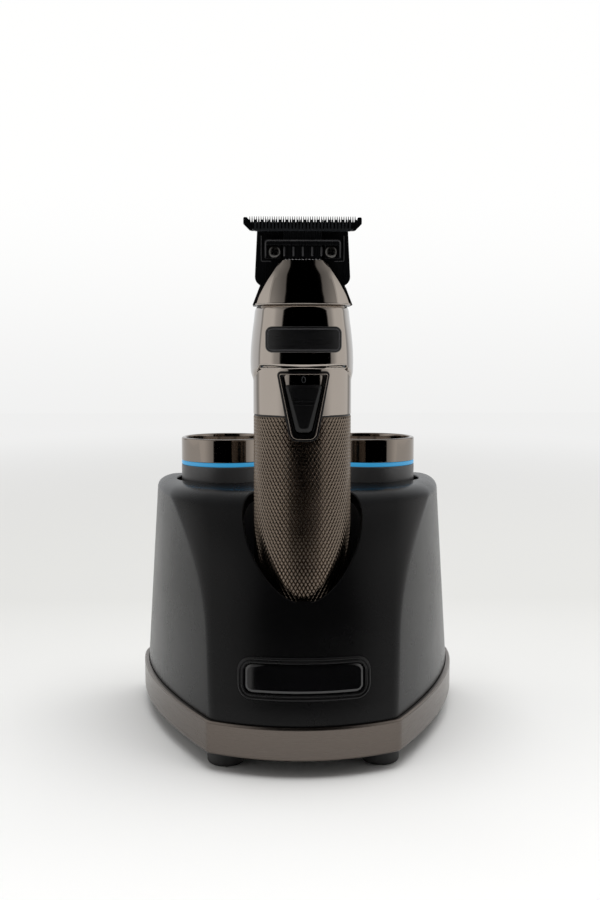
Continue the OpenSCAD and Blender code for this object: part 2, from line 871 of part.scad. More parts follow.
module head_frame() {
    low_hw = nose_low_hw + 1.1;
    mid_hw = nose_mid_hw + 1.1;
    top_z = blade_screw_z + frame_rise;
    color("#18181a") in_clipper() difference() {
        loft([
            [housing_top + fit, [[-low_hw, 12.4], [-low_hw, -nose_back + 0.2],
                [low_hw, -nose_back + 0.2], [low_hw, 12.4]]],
            [nose_mid_z, [[-mid_hw, 8.6], [-mid_hw, -nose_back + 0.2],
                [mid_hw, -nose_back + 0.2], [mid_hw, 8.6]]],
            [top_z, [[-mid_hw + 1, 2.6], [-mid_hw + 1, -nose_back + 0.2],
                [mid_hw - 1, -nose_back + 0.2], [mid_hw - 1, 2.6]]]
        ]);
        block(-20, 20, -20, -blade_back, stem_bottom - slip, top_z + 1);
        block(-8.5, 8.5, -20, 5.5, housing_top - 1, stem_bottom + 0.2);
        pair_x(blade_screw_span / 2) translate([0, 0, blade_screw_z]) rotate([90, 0, 0])
            translate([0, 0, -6]) cylinder(r = 1.25, h = 12);
    }
}

// Comb outline: root line, evenly spaced teeth, closed by the base points given
function teeth(w, pitch, root, tip, width) = let (n = floor(w / pitch)) [
    for (k = [0:n - 1]) let (x = -n * pitch / 2 + pitch * (k + 0.5))
        each [[x - width / 2, root], [x - width / 4, tip], [x + width / 4, tip], [x + width / 2, root]]
];

module fixed_blade() {
    knob_r = 1.65;
    knob_x = comb_w / 2 - knob_r;
    bar_hw = cutter_w / 2 + 0.6;
    stem_top_hw = stem_w / 2 - 1;
    t = teeth(2 * knob_x - 1.6, comb_pitch, comb_root, tip_z, comb_pitch * 0.55);
    color("#1e1e21") in_clipper() difference() {
        union() {
            upright(concat(
                [[-stem_top_hw, comb_base - 1], [stem_top_hw, comb_base - 1], [bar_hw, comb_base + 1.4],
                    [knob_x, comb_root - 0.6], [knob_x, comb_root]],
                [for (k = [len(t) - 1:-1:0]) t[k]],
                [[-knob_x, comb_root], [-knob_x, comb_root - 0.6], [-bar_hw, comb_base + 1.4]]
            ), -blade_front, -blade_back);
            upright(rounded([[-stem_w / 2, stem_bottom], [stem_w / 2, stem_bottom],
                [stem_top_hw, comb_base - 1 + eps], [-stem_top_hw, comb_base - 1 + eps]], 1.2),
                -blade_front, -blade_back);
            pair_x(knob_x) translate([0, -blade_back, tip_z - knob_r]) rotate([90, 0, 0])
                cylinder(r = knob_r, h = blade_t);
        }
        pair_x(blade_screw_span / 2) translate([0, 0, blade_screw_z]) rotate([90, 0, 0])
            cylinder(r = 1.25, h = 12);
    }
}

module blade_guide() {
    leg_in = stem_hw + stroke + 0.4;
    leg_out = 13;
    z0 = nose_top + 0.4;
    z1 = nose_top + 6.7;
    bar_z = z1 - 1.8;
    color("#17171a") in_clipper() difference() {
        union() {
            for (side = [-1, 1]) scale([side, 1, 1])
                block(leg_in, leg_out, -cutter_front, -blade_front, z0, z1);
            block(-leg_out, leg_out, -cutter_front - guide_t - 0.2, -cutter_front - 0.2, bar_z, z1);
            for (side = [-1, 1]) scale([side, 1, 1])
                block(leg_in, leg_out, -cutter_front - 0.2, -cutter_front, bar_z, z1);
        }
        pair_x(blade_screw_span / 2) translate([0, 0, blade_screw_z]) rotate([90, 0, 0])
            cylinder(r = 1.25, h = 12);
    }
}

module blade_screws() {
    color("#3a3a3e") in_clipper() pair_x(blade_screw_span / 2) translate([0, 0, blade_screw_z])
        rotate([90, 0, 0]) {
            translate([0, 0, cutter_front]) cylinder(r = 2.1, h = 0.9);
            translate([0, 0, -2.4]) cylinder(r = 1.2, h = cutter_front + 2.4);
        }
}

module moving_blade() {
    hw = cutter_w / 2;
    tip = tip_z - 1.3;
    t = teeth(cutter_w - 0.6, cutter_pitch, cutter_root, tip, cutter_pitch * 0.6);
    color("#26262a") in_clipper() union() {
        upright(concat(
            [[-stem_hw, yoke_top], [stem_hw, yoke_top], [stem_hw, cutter_base], [hw - 1.4, cutter_base],
                [hw - 0.4, cutter_base + 0.5], [hw, cutter_base + 1.6]],
            [for (k = [len(t) - 1:-1:0]) t[k]],
            [[-hw, cutter_base + 1.6], [-hw + 0.4, cutter_base + 0.5], [-hw + 1.4, cutter_base],
                [-stem_hw, cutter_base]]
        ), -cutter_front, -blade_front - cutter_gap);
    }
}

module drive_yoke() {
    hw = yoke_gap + 2.2;
    color("#d8d8d4") in_clipper() difference() {
        block(-hw, hw, -cutter_front, 3.4, yoke_bottom, yoke_top);
        block(-yoke_gap, yoke_gap, -yoke_gap, 4, yoke_bottom - 1, yoke_top + 1);
    }
}

shaft_in = 11.5;                       // length inside the motor
shaft_out = 8;                         // length above it
disc_rise = 4;
disc_h = 6;

module motor_shaft() {
    color("#b9bbbe") in_clipper() rod(shaft_r, motor_top - shaft_in, motor_top + shaft_out);
}

module eccentric() {
    z0 = motor_top + disc_rise;
    color("#d8d8d4") in_clipper() difference() {
        union() {
            rod(eccentric_r, z0, z0 + disc_h);
            translate([stroke, 0, 0]) rod(pin_r, z0 + disc_h, yoke_top - 0.6);
        }
        rod(shaft_r + 0.02, z0 - 1, motor_top + shaft_out);
    }
}

// ---------------------------------------------------------------- assembly

stand_shell();
base_band();
bottom_plate();
foot(-front_foot_x, front_foot_y);  // foot_front_left
foot(front_foot_x, front_foot_y);  // foot_front_right
foot(-rear_foot_x, rear_foot_y);  // foot_rear_left
foot(rear_foot_x, rear_foot_y);  // foot_rear_right
cradle_cup();
cradle_board();
cradle_contacts();
badge_frame();
badge_plate();
inner_deck();
ballast_plate();
dock_board();
power_inlet();
base_screws();
well_rim(-1);  // well_rim_left
well_rim(1);  // well_rim_right
light_ring(-1);  // light_ring_left
light_ring(1);  // light_ring_right
well_collar(-1);  // well_collar_left
well_collar(1);  // well_collar_right
well_cup(-1);  // well_cup_left
well_cup(1);  // well_cup_right
led_strip(-1);  // led_strip_left
led_strip(1);  // led_strip_right
well_contacts(-1);  // well_contacts_left
well_contacts(1);  // well_contacts_right
barrel_sleeve();
upper_housing();
end_cap();
end_contacts();
chassis();
battery_cell();
motor_can();
motor_screws();
circuit_board();
micro_switch();
switch_bezel();
name_plate();
head_frame();
nose_cap();
fixed_blade();
blade_guide();
blade_screws();
moving_blade();
drive_yoke();
motor_shaft();
eccentric();
switch_slider();
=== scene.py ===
"""A cordless trimmer standing in its charging stand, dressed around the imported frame.

Sizes are in millimetres until a mesh is made. Pieces of the trimmer are drawn about its own axis.
"""
import math

import bmesh
import bpy
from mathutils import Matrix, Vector


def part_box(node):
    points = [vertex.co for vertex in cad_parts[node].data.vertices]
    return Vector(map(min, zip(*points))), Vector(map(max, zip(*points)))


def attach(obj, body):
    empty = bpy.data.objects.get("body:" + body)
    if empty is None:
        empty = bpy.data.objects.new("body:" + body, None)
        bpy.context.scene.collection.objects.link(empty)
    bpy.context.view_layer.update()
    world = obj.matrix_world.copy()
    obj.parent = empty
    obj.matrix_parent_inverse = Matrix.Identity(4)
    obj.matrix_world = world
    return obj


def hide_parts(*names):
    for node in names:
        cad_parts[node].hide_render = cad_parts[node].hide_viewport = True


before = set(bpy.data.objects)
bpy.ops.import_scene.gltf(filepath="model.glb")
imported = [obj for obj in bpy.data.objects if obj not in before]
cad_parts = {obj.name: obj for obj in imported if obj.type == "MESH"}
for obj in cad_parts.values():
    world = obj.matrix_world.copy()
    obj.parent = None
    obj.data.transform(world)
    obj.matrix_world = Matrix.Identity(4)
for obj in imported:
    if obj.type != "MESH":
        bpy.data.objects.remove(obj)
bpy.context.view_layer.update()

MM = 0.001


class Box:
    """Corners, middle and half width of a node of the frame, in millimetres."""

    def __init__(self, name):
        self.low, self.high = ([v / MM for v in corner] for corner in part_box(name))
        self.half = (self.high[0] - self.low[0]) / 2
        self.middle = [(a + b) / 2 for a, b in zip(self.low, self.high)]


# ---------------------------------------------------------------- sizes taken from the frame

BAND, INLET, BADGE = Box("base_band"), Box("power_inlet"), Box("badge_frame")
BASE_HW = BAND.half
FRONT_Y, BACK_Y = BAND.low[1], BAND.high[1]
FOOT_H, BAND_TOP = BAND.low[2], BAND.high[2]
PLATE_TOP = Box("bottom_plate").high[2]
SHELL_TOP = Box("stand_shell").high[2]

BARREL, HOUSING, PLATE = Box("barrel_sleeve"), Box("upper_housing"), Box("name_plate")
BARREL_R = BARREL.half
AXIS_Y = BARREL.middle[1]
CAP_TOP, BARREL_TOP = BARREL.low[2], BARREL.high[2]
CLIP_Z = Box("end_cap").low[2]
HOUSING_FRONT = AXIS_Y - HOUSING.low[1]
HOUSING_TOP = HOUSING.high[2]
NOSE_TOP = Box("nose_cap").high[2]
COMB, CUTTER, GUIDE, SCREWS = (Box(name) for name in ("fixed_blade", "moving_blade", "blade_guide",
                                                      "blade_screws"))
TIP_Z, STEM_BOTTOM = COMB.high[2], COMB.low[2]
BLADE_FRONT, BLADE_BACK = AXIS_Y - COMB.low[1], AXIS_Y - COMB.high[1]
CUTTER_FRONT, CUTTER_BACK = AXIS_Y - CUTTER.low[1], AXIS_Y - CUTTER.high[1]
BEZEL, SLIDER = Box("switch_bezel"), Box("switch_slider")
BEZEL_R = AXIS_Y - BEZEL.low[1]
BEZEL_TOP = BEZEL.high[2]
BEZEL_H = BEZEL_TOP - BEZEL.low[2]

RIM = Box("well_rim_right")
WELL_R = RIM.half
WELL_X, WELL_Y, _ = RIM.middle
LIGHT_TOP, RIM_TOP = RIM.low[2], RIM.high[2]
COLLAR_TOP = Box("well_collar_right").high[2]

# Outline of the stand, as its construction has it
FRONT_BOW_R = 58.0
SIDE_SWEEP = 30.5
REAR_CORNER_R = 15.0
SIDE_POWER = 1.75
SHELL_INSET = 1.8
SHELL_WALL = 2.5
BAND_T = 1.6
FRONT_CURVE_Z = 46.0
FRONT_RUN = 29.0
FRONT_LEAN = math.tan(math.radians(9))
SIDE_LEAN = math.tan(math.radians(3.5))
EDGE_H, EDGE_W = 4.2, 8.0
FRONT_HW = BASE_HW - SIDE_SWEEP
SIDE_RUN = BACK_Y - FRONT_Y - REAR_CORNER_R - FRONT_HW ** 2 / (2 * FRONT_BOW_R)

BADGE_CORNER_R = 5.0
CRADLE_R = 20.9
WELL_GAP = 2.0
INLET_Z = PLATE_TOP + 16.0
BODY_BORE_R, NECK_BORE_R = 15.2, 13.0
WAIST_Z = BARREL_TOP + 15.3
SHOULDER_Z = BARREL_TOP + 11.6
CAP_SETBACK = 1.4


# ---------------------------------------------------------------- mesh helpers

def linked(name, mesh):
    """A new object in the scene."""
    obj = bpy.data.objects.new(name, mesh)
    bpy.context.collection.objects.link(obj)
    return obj


def smooth(mesh, sharp):
    for polygon in mesh.polygons:
        polygon.use_smooth = True
    mesh.set_sharp_from_angle(angle=math.radians(sharp))


def finish_object(name, bm, material, sharp=32.0):
    """Turns a bmesh in metres into a smooth-shaded object whose edges over the angle stay sharp."""
    bmesh.ops.remove_doubles(bm, verts=bm.verts, dist=1e-7)
    bmesh.ops.recalc_face_normals(bm, faces=bm.faces)
    mesh = bpy.data.meshes.new(name)
    bm.to_mesh(mesh)
    bm.free()
    mesh.materials.append(material)
    smooth(mesh, sharp)
    return linked(name, mesh)


def add_loops(bm, loops, cyclic=False):
    """Skins a run of loops that have the same number of points. Points are in millimetres."""
    rows = [[bm.verts.new((x * MM, y * MM, z * MM)) for x, y, z in loop] for loop in loops]
    pairs = list(zip(rows, rows[1:])) + ([(rows[-1], rows[0])] if cyclic else [])
    for lower, upper in pairs:
        for k in range(len(lower)):
            j = (k + 1) % len(lower)
            bm.faces.new((lower[k], lower[j], upper[j], upper[k]))
    if not cyclic:
        bm.faces.new(rows[0][::-1])
        bm.faces.new(rows[-1])


def loft(name, loops, material, cyclic=False, sharp=32.0):
    bm = bmesh.new()
    add_loops(bm, loops, cyclic)
    return finish_object(name, bm, material, sharp)


def held(profile, gap=0.05, longest=1.0):
    """The profile with a point beside each end of its long runs, so that they shade flat."""
    out = [profile[0]]
    for a, b in zip(profile, profile[1:]):
        length = math.dist(a, b)
        if length > longest:
            for share in (gap / length, 1 - gap / length):
                out.append(tuple(p + (q - p) * share for p, q in zip(a, b)))
        out.append(b)
    return out


def lathe(name, profile, material, centre=(0.0, AXIS_Y), cyclic=True, steps=128):
    """A turned piece: profile is a list of (radius, height). A closed profile is a ring."""
    turn = [2 * math.pi * k / steps for k in range(steps)]
    loops = [[(centre[0] + radius * math.sin(a), centre[1] - radius * math.cos(a), z) for a in turn]
             for radius, z in held(profile)]
    return loft(name, loops, material, cyclic)


def arc(cx, cz, radius, start, end, steps=6):
    """Points of a profile along a quarter turn or less, angles in degrees from the +r axis."""
    angles = [math.radians(start + (end - start) * k / steps) for k in range(steps + 1)]
    return [(cx + radius * math.cos(a), cz + radius * math.sin(a)) for a in angles]


def rounded(points, radius, steps=6):
    """A convex outline, counted anticlockwise, with its corners rounded by one radius or by one each."""
    radii = radius if isinstance(radius, list) else [radius] * len(points)
    out = []
    for k, (point, radius) in enumerate(zip(points, radii)):
        p = Vector(point)
        a = (Vector(points[k - 1]) - p).normalized()
        b = (Vector(points[(k + 1) % len(points)]) - p).normalized()
        half = math.acos(max(-1.0, min(1.0, a.dot(b)))) / 2
        centre = p + (a + b).normalized() * radius / math.sin(half)
        start = p + a * radius / math.tan(half) - centre
        for s in range(steps + 1):
            t = (math.pi - 2 * half) * s / steps
            out.append((centre.x + start.x * math.cos(t) - start.y * math.sin(t),
                        centre.y + start.x * math.sin(t) + start.y * math.cos(t)))
    return out


def rectangle(hw, z0, z1):
    return [(-hw, z0), (hw, z0), (hw, z1), (-hw, z1)]


def mixed(first, second, share):
    """A point part of the way from one to another."""
    return tuple(p + (q - p) * share for p, q in zip(first, second))


def relief(name, outline, steps, surface, material, rise=0.0, cyclic=False, sharp=40.0):
    """Skins an outline in x and z at given insets and heights, slices it upright and lays it on a surface."""
    bm = bmesh.new()
    add_loops(bm, [[(x, rise + h, z) for x, z in outline(inset)] for inset, h in steps], cyclic)
    reach = max(vertex.co.x for vertex in bm.verts) / MM
    every = 0.7
    for k in range(-int(reach / every), int(reach / every) + 1):
        bmesh.ops.bisect_plane(bm, geom=bm.verts[:] + bm.edges[:] + bm.faces[:],
                               plane_co=(k * every * MM, 0, 0), plane_no=(1, 0, 0))
    for vertex in bm.verts:
        vertex.co = [v * MM for v in surface(*(v / MM for v in vertex.co))]
    return finish_object(name, bm, material, sharp)


def freeze(obj, sharp=None):
    """Applies what modifiers the object has and leaves a plain mesh."""
    bpy.context.view_layer.update()
    graph = bpy.context.evaluated_depsgraph_get()
    mesh = bpy.data.meshes.new_from_object(obj.evaluated_get(graph))
    obj.modifiers.clear()
    obj.data = mesh
    if sharp is not None:
        smooth(mesh, sharp)
    return obj


def modified(obj, kind, sharp=None, **settings):
    """The object with one modifier made, set and applied."""
    modifier = obj.modifiers.new(kind.lower(), kind)
    for key, value in settings.items():
        setattr(modifier, key, value)
    return freeze(obj, sharp)


def cut(obj, cutter, sharp=32.0):
    """Cuts one closed mesh with another, which is used up."""
    modified(obj, "BOOLEAN", sharp, object=cutter, operation="DIFFERENCE", solver="EXACT")
    bpy.data.objects.remove(cutter, do_unlink=True)


def bevel(obj, width, segments=3, angle=30.0):
    return modified(obj, "BEVEL", width=width * MM, segments=segments, limit_method="ANGLE",
                    angle_limit=math.radians(angle), harden_normals=True)


def prism(name, outline, y_front, y_back, material, bevel_width=0.0, y0=AXIS_Y):
    """An outline drawn in x and z, from its front face back to its rear face."""
    obj = loft(name, [[(x, y0 - y, z) for x, z in outline] for y in (y_front, y_back)], material)
    return bevel(obj, bevel_width) if bevel_width else obj


def block(name, low, high, material, bevel_width=0.0):
    """A block between two corners."""
    obj = prism(name, rectangle((high[0] - low[0]) / 2, low[2], high[2]), -low[1], -high[1], material, y0=0.0)
    shift = (low[0] + high[0]) / 2 * MM
    for vertex in obj.data.vertices:
        vertex.co.x += shift
    return bevel(obj, bevel_width) if bevel_width else obj


def join(name, objects):
    """Puts several meshes into the first one, whose material they all take."""
    bm = bmesh.new()
    for obj in objects:
        bm.from_mesh(obj.data)
    first = objects[0]
    mesh = bpy.data.meshes.new(name)
    bm.to_mesh(mesh)
    bm.free()
    mesh.materials.append(first.data.materials[0])
    for obj in objects[1:]:
        bpy.data.objects.remove(obj, do_unlink=True)
    first.data = mesh
    first.name = name
    return first


def place(obj, body, slot, *nodes):
    """Gives a finished piece its body and hides the nodes of the frame that it stands for. The slot is not
    used.
    """
    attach(obj, body)
    if nodes:
        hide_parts(*nodes)


# ---------------------------------------------------------------- node helpers

class Wire:
    """A node's output that can be reckoned with: each sum, product or named step adds a Math node."""

    def __init__(self, tree, socket):
        self.tree, self.socket = tree, socket

    def maths(self, operation, other=0.0, swapped=False):
        inputs = {0: other, 1: self} if swapped else {0: self, 1: other}
        return wire(self.tree, "ShaderNodeMath", inputs, operation=operation)

    def __add__(self, other):
        return self.maths("ADD", other)

    def __sub__(self, other):
        return self.maths("SUBTRACT", other)

    def __rsub__(self, other):
        return self.maths("SUBTRACT", other, True)

    def __mul__(self, other):
        return self.maths("MULTIPLY", other)

    def __truediv__(self, other):
        return self.maths("DIVIDE", other)


def feed(socket, value):
    """Links a wire or an output to an input socket, or sets the socket's own value."""
    value = getattr(value, "socket", value)
    if isinstance(value, bpy.types.NodeSocket):
        socket.id_data.links.new(value, socket)
    else:
        socket.default_value = value


def node(tree, kind, inputs=None, **settings):
    """A node with its settings made and its inputs, by name or number, linked or set."""
    made = tree.nodes.new(kind)
    for key, value in settings.items():
        setattr(made, key, value)
    for key, value in (inputs or {}).items():
        feed(made.inputs[key], value)
    return made


def wire(tree, kind, inputs=None, output=0, **settings):
    """The output of a new node."""
    return Wire(tree, node(tree, kind, inputs, **settings).outputs[output])


def vector_maths(tree, operation, inputs, output=0):
    return wire(tree, "ShaderNodeVectorMath", inputs, output, operation=operation)


def blend(tree, share, first, second):
    """A colour between two, each given as red, green and blue."""
    return wire(tree, "ShaderNodeMix", {"Factor": share, "A": (*first, 1.0), "B": (*second, 1.0)}, "Result",
                data_type="RGBA")


SOCKETS = {float: "Float", int: "Int", tuple: "Vector"}


def new_group(name, kind, inputs, outputs):
    """A node group with named inputs, given by a value or a kind of socket, and named outputs."""
    tree = bpy.data.node_groups.new(name, kind)
    for label, value in inputs.items():
        sort = SOCKETS.get(type(value), value)
        socket = tree.interface.new_socket(label, in_out="INPUT", socket_type="NodeSocket" + sort)
        if sort != value:
            socket.default_value = value
    for label, sort in outputs.items():
        tree.interface.new_socket(label, in_out="OUTPUT", socket_type="NodeSocket" + sort)
    source = tree.nodes.new("NodeGroupInput").outputs
    target = tree.nodes.new("NodeGroupOutput").inputs
    return tree, {label: Wire(tree, source[label]) for label in inputs}, target


# ---------------------------------------------------------------- shader groups

def surface_group(name, inputs):
    """An empty group that gives a roughness, a normal and a tone."""
    return new_group(name, "ShaderNodeTree", {**inputs, "Low Roughness": 0.4, "High Roughness": 0.5},
                     {"Roughness": "Float", "Normal": "Vector", "Tone": "Float"})


def noise(tree, vector, scale, detail, roughness=0.5):
    return wire(tree, "ShaderNodeTexNoise", {"Vector": vector, "Scale": scale, "Detail": detail,
                                             "Roughness": roughness})


def give_surface(tree, given, out, tone, height, depth):
    """Sets a surface group's outputs from its tone and its relief."""
    level = {"Value": tone, "From Min": 0.3, "From Max": 0.7, "To Min": given["Low Roughness"],
             "To Max": given["High Roughness"]}
    feed(out["Roughness"], wire(tree, "ShaderNodeMapRange", level))
    feed(out["Normal"], wire(tree, "ShaderNodeBump", {"Strength": 1.0, "Distance": depth, "Height": height}))
    feed(out["Tone"], tone)
    return tree


def build_grain():
    """Fine moulded grain under broad handling marks."""
    tree, given, out = surface_group("surface_grain", {"Grain Scale": 4000.0, "Grain Depth": 2e-5,
                                                       "Mark Scale": 60.0})
    coords = wire(tree, "ShaderNodeTexCoord", output="Object")
    fine = noise(tree, coords, given["Grain Scale"], 2.0)
    return give_surface(tree, given, out, noise(tree, coords, given["Mark Scale"], 4.0, 0.6), fine,
                        given["Grain Depth"])


def build_brushing():
    """Fine lines left by brushing, long across the Stretch axis."""
    tree, given, out = surface_group("brushed_lines", {"Stretch": (60.0, 60.0, 4000.0), "Line Depth": 1e-5})
    coords = wire(tree, "ShaderNodeTexCoord", output="Object")
    stretched = vector_maths(tree, "MULTIPLY", {0: coords, 1: given["Stretch"]})
    lines = noise(tree, stretched, 1.0, 3.0, 0.7)
    return give_surface(tree, given, out, lines, lines, given["Line Depth"])


GRAIN = build_grain()
BRUSHING = build_brushing()


# ---------------------------------------------------------------- materials

def shader(name, settings):
    """A material with one Principled BSDF whose constant values sit on its own sockets."""
    made = bpy.data.materials.new(name)
    made.use_nodes = True
    principled = made.node_tree.nodes["Principled BSDF"]
    for key, value in settings.items():
        principled.inputs[key.replace("_", " ")].default_value = value
    return made, made.node_tree, principled.inputs


def finished(name, group, values, tones, rough, settings):
    """A material whose colour wanders between two tones, with a group's roughness and relief."""
    made, tree, inputs = shader(name, settings)
    values = {**values, "Low Roughness": rough[0], "High Roughness": rough[1]}
    effect = node(tree, "ShaderNodeGroup", values, node_tree=group).outputs
    feed(inputs["Base Color"], blend(tree, effect["Tone"], *tones))
    for label in ("Roughness", "Normal"):
        feed(inputs[label], effect[label])
    return made


def grained(name, colour, marked, rough, grain=(4000.0, 2e-5), mark_scale=60.0, **settings):
    """Moulded, painted or polished surface with handling marks."""
    values = {"Grain Scale": grain[0], "Grain Depth": grain[1], "Mark Scale": mark_scale}
    return finished(name, GRAIN, values, (colour, marked), rough, settings)


def brushed(name, dark, light, rough, stretch, depth, **settings):
    """Brushed or ground metal with lines across one axis."""
    return finished(name, BRUSHING, {"Stretch": stretch, "Line Depth": depth}, (dark, light), rough, settings)


SOFT_BLACK = grained("soft_touch_black", (0.0022, 0.0022, 0.0024), (0.0034, 0.0034, 0.0037), (0.24, 0.29),
                     (5200.0, 1.2e-5), 45.0, Specular_IOR_Level=0.17)
BLACK_PLASTIC = grained("moulded_black", (0.003, 0.003, 0.0034), (0.005, 0.005, 0.0055), (0.32, 0.42),
                        (4200.0, 1e-5), Specular_IOR_Level=0.4)
POCKET_BLACK = grained("pocket_black", (0.06, 0.06, 0.062), (0.075, 0.075, 0.078), (0.3, 0.42),
                       (4200.0, 1e-5))
GLOSS_BLACK = grained("gloss_black", (0.003, 0.003, 0.0034), (0.004, 0.004, 0.0045), (0.06, 0.12),
                      (1500.0, 1e-6), Coat_Weight=0.6, Coat_Roughness=0.04)
SATIN_BLACK = grained("satin_black", (0.003, 0.003, 0.0033), (0.005, 0.005, 0.0054), (0.24, 0.32),
                      (3500.0, 6e-6), Specular_IOR_Level=0.28)
BEZEL_BLACK = grained("bezel_black", (0.002, 0.002, 0.0022), (0.003, 0.003, 0.0033), (0.12, 0.18),
                      (1500.0, 1e-6), Specular_IOR_Level=0.16)
GUNMETAL = grained("polished_gunmetal", (0.37, 0.33, 0.295), (0.40, 0.36, 0.325), (0.035, 0.075),
                   (900.0, 4e-7), 40.0, Metallic=1.0)
RIM_METAL = grained("darker_gunmetal", (0.27, 0.235, 0.205), (0.30, 0.262, 0.23), (0.04, 0.08),
                    (900.0, 4e-7), 40.0, Metallic=1.0)
KNURL_METAL = grained("knurled_gunmetal", (0.16, 0.129, 0.102), (0.19, 0.153, 0.122), (0.16, 0.22),
                      (3000.0, 4e-6), 90.0, Metallic=1.0)
BAND_METAL = brushed("satin_band", (0.128, 0.109, 0.095), (0.155, 0.133, 0.118), (0.24, 0.34),
                     (40.0, 40.0, 5200.0), 4e-6, Metallic=1.0)
COLLAR_GREY = grained("collar_grey", (0.075, 0.075, 0.077), (0.088, 0.088, 0.09), (0.30, 0.38),
                      (5000.0, 1e-5))
BLACK_STEEL = brushed("black_steel", (0.004, 0.0042, 0.0048), (0.008, 0.0084, 0.0095), (0.22, 0.34),
                      (4200.0, 200.0, 60.0), 6e-6, Metallic=0.3, Specular_IOR_Level=0.2)
CUTTER_STEEL = brushed("cutter_steel", (0.045, 0.05, 0.056), (0.065, 0.07, 0.078), (0.34, 0.46),
                       (60.0, 200.0, 4800.0), 6e-6, Metallic=0.8)
SCREW_BLACK = grained("blackened_screw", (0.07, 0.068, 0.065), (0.095, 0.092, 0.088), (0.16, 0.22),
                      (3000.0, 3e-6), Metallic=0.9)
SCREW_STEEL = grained("screw_steel", (0.45, 0.45, 0.46), (0.52, 0.52, 0.53), (0.2, 0.3), (3000.0, 3e-6),
                      Metallic=1.0)
RUBBER = grained("foot_rubber", (0.012, 0.012, 0.012), (0.018, 0.018, 0.018), (0.6, 0.75), (2500.0, 3e-5))
GOLD = grained("contact_gold", (0.75, 0.53, 0.20), (0.80, 0.58, 0.24), (0.18, 0.28), (3000.0, 2e-6),
               Metallic=1.0)
BOARD_GREEN = grained("board_green", (0.012, 0.09, 0.035), (0.018, 0.12, 0.05), (0.3, 0.4), (2500.0, 4e-6))
BALLAST_STEEL = brushed("ballast_steel", (0.20, 0.205, 0.21), (0.28, 0.285, 0.29), (0.35, 0.5),
                        (60.0, 4000.0, 60.0), 1e-5, Metallic=1.0)
LED_WHITE = grained("led_strip", (0.70, 0.76, 0.80), (0.76, 0.82, 0.86), (0.4, 0.5))
CELL_WRAP = grained("cell_wrap", (0.03, 0.13, 0.30), (0.04, 0.16, 0.35), (0.25, 0.35), (2500.0, 4e-6))
MOTOR_STEEL = brushed("motor_steel", (0.42, 0.43, 0.44), (0.50, 0.51, 0.52), (0.25, 0.38),
                      (60.0, 60.0, 4200.0), 6e-6, Metallic=1.0)
ACETAL = grained("white_acetal", (0.68, 0.68, 0.65), (0.74, 0.74, 0.71), (0.35, 0.45))
PLATE_BLACK = brushed("plate_black", (0.003, 0.003, 0.0034), (0.008, 0.008, 0.009), (0.26, 0.36),
                      (80.0, 80.0, 4200.0), 4e-6)
LINE_METAL = grained("fine_line_metal", (0.08, 0.08, 0.084), (0.105, 0.105, 0.11), (0.45, 0.55),
                     (3000.0, 2e-6), Metallic=0.6)
NUMERAL_GREY = grained("printed_grey", (0.035, 0.037, 0.042), (0.045, 0.047, 0.052), (0.4, 0.5))


def light_blue():
    """Frosted ring lit from behind, a little brighter in patches where its lamps sit."""
    made, tree, inputs = shader("light_blue", {"Base Color": (0.03, 0.14, 0.25, 1.0), "Roughness": 0.35,
                                               "Emission Strength": 1.0})
    patches = noise(tree, wire(tree, "ShaderNodeTexCoord", output="Object"), 70.0, 1.0)
    feed(inputs["Emission Color"], blend(tree, patches, (0.015, 0.2, 0.4), (0.035, 0.25, 0.47)))
    return made


LIGHT_BLUE = light_blue()


# ---------------------------------------------------------------- camera

def add_camera():
    """Eye level just above the stand, a little to the left, looking slightly down."""
    data = bpy.data.cameras.new("camera")
    data.lens, data.sensor_width, data.clip_start = 46.0, 36.0, 0.01
    camera = linked("camera", data)
    distance, height, side_turn, tilt = 0.432, 0.144, math.radians(1.6), math.radians(5.1)
    camera.location = (-distance * math.sin(side_turn), -distance * math.cos(side_turn), height)
    camera.rotation_euler = (math.radians(90) - tilt, 0.0, -side_turn)
    bpy.context.scene.camera = camera


add_camera()


# ---------------------------------------------------------------- outline of the stand

def side_x(y):
    return BASE_HW - SIDE_SWEEP * (max(0.0, BACK_Y - REAR_CORNER_R - y) / SIDE_RUN) ** SIDE_POWER


def front_bow(x):
    return x * x / (2 * FRONT_BOW_R)


def rear_corner(inset):
    """Radius of the rear corner and where it starts."""
    radius = max(REAR_CORNER_R - inset, 3.0)
    return radius, BACK_Y - inset - radius


def plan(y0, inset, z, ridge=1.6):
    """The stand's outline at a height: bowed front, ridge rounded over a length, swept side, rear corner."""
    xr = 40.0
    for _ in range(30):
        xr = side_x(y0 + front_bow(xr)) - inset
    yr = y0 + front_bow(xr)
    xa, yb = xr - ridge, yr + ridge
    rc, ys = rear_corner(inset)
    half = [(xa * k / 30, y0 + front_bow(xa * k / 30)) for k in range(31)]
    start, end = half[-1], (side_x(yb) - inset, yb)
    for k in range(1, 9):
        t = k / 9
        half.append(tuple((1 - t) ** 2 * a + 2 * t * (1 - t) * p + t * t * b
                          for a, p, b in zip(start, (xr, yr), end)))
    for k in range(41):
        y = yb + (ys - yb) * k / 40
        half.append((side_x(y) - inset, y))
    for k in range(1, 11):
        t = math.radians(9 * k)
        half.append((BASE_HW - inset - rc * (1 - math.cos(t)), ys + rc * math.sin(t)))
    return [(x, y, z) for x, y in half + [(-x, y) for x, y in half[:0:-1]]]


def shell_front(z):
    lean = SHELL_INSET + FRONT_LEAN * max(0.0, z - BAND_TOP)
    if z <= FRONT_CURVE_Z:
        return FRONT_Y + lean
    share = min(1.0, (z - FRONT_CURVE_Z) / (SHELL_TOP - FRONT_CURVE_Z))
    return FRONT_Y + lean + FRONT_RUN * (1 - math.sqrt(1 - share * share))


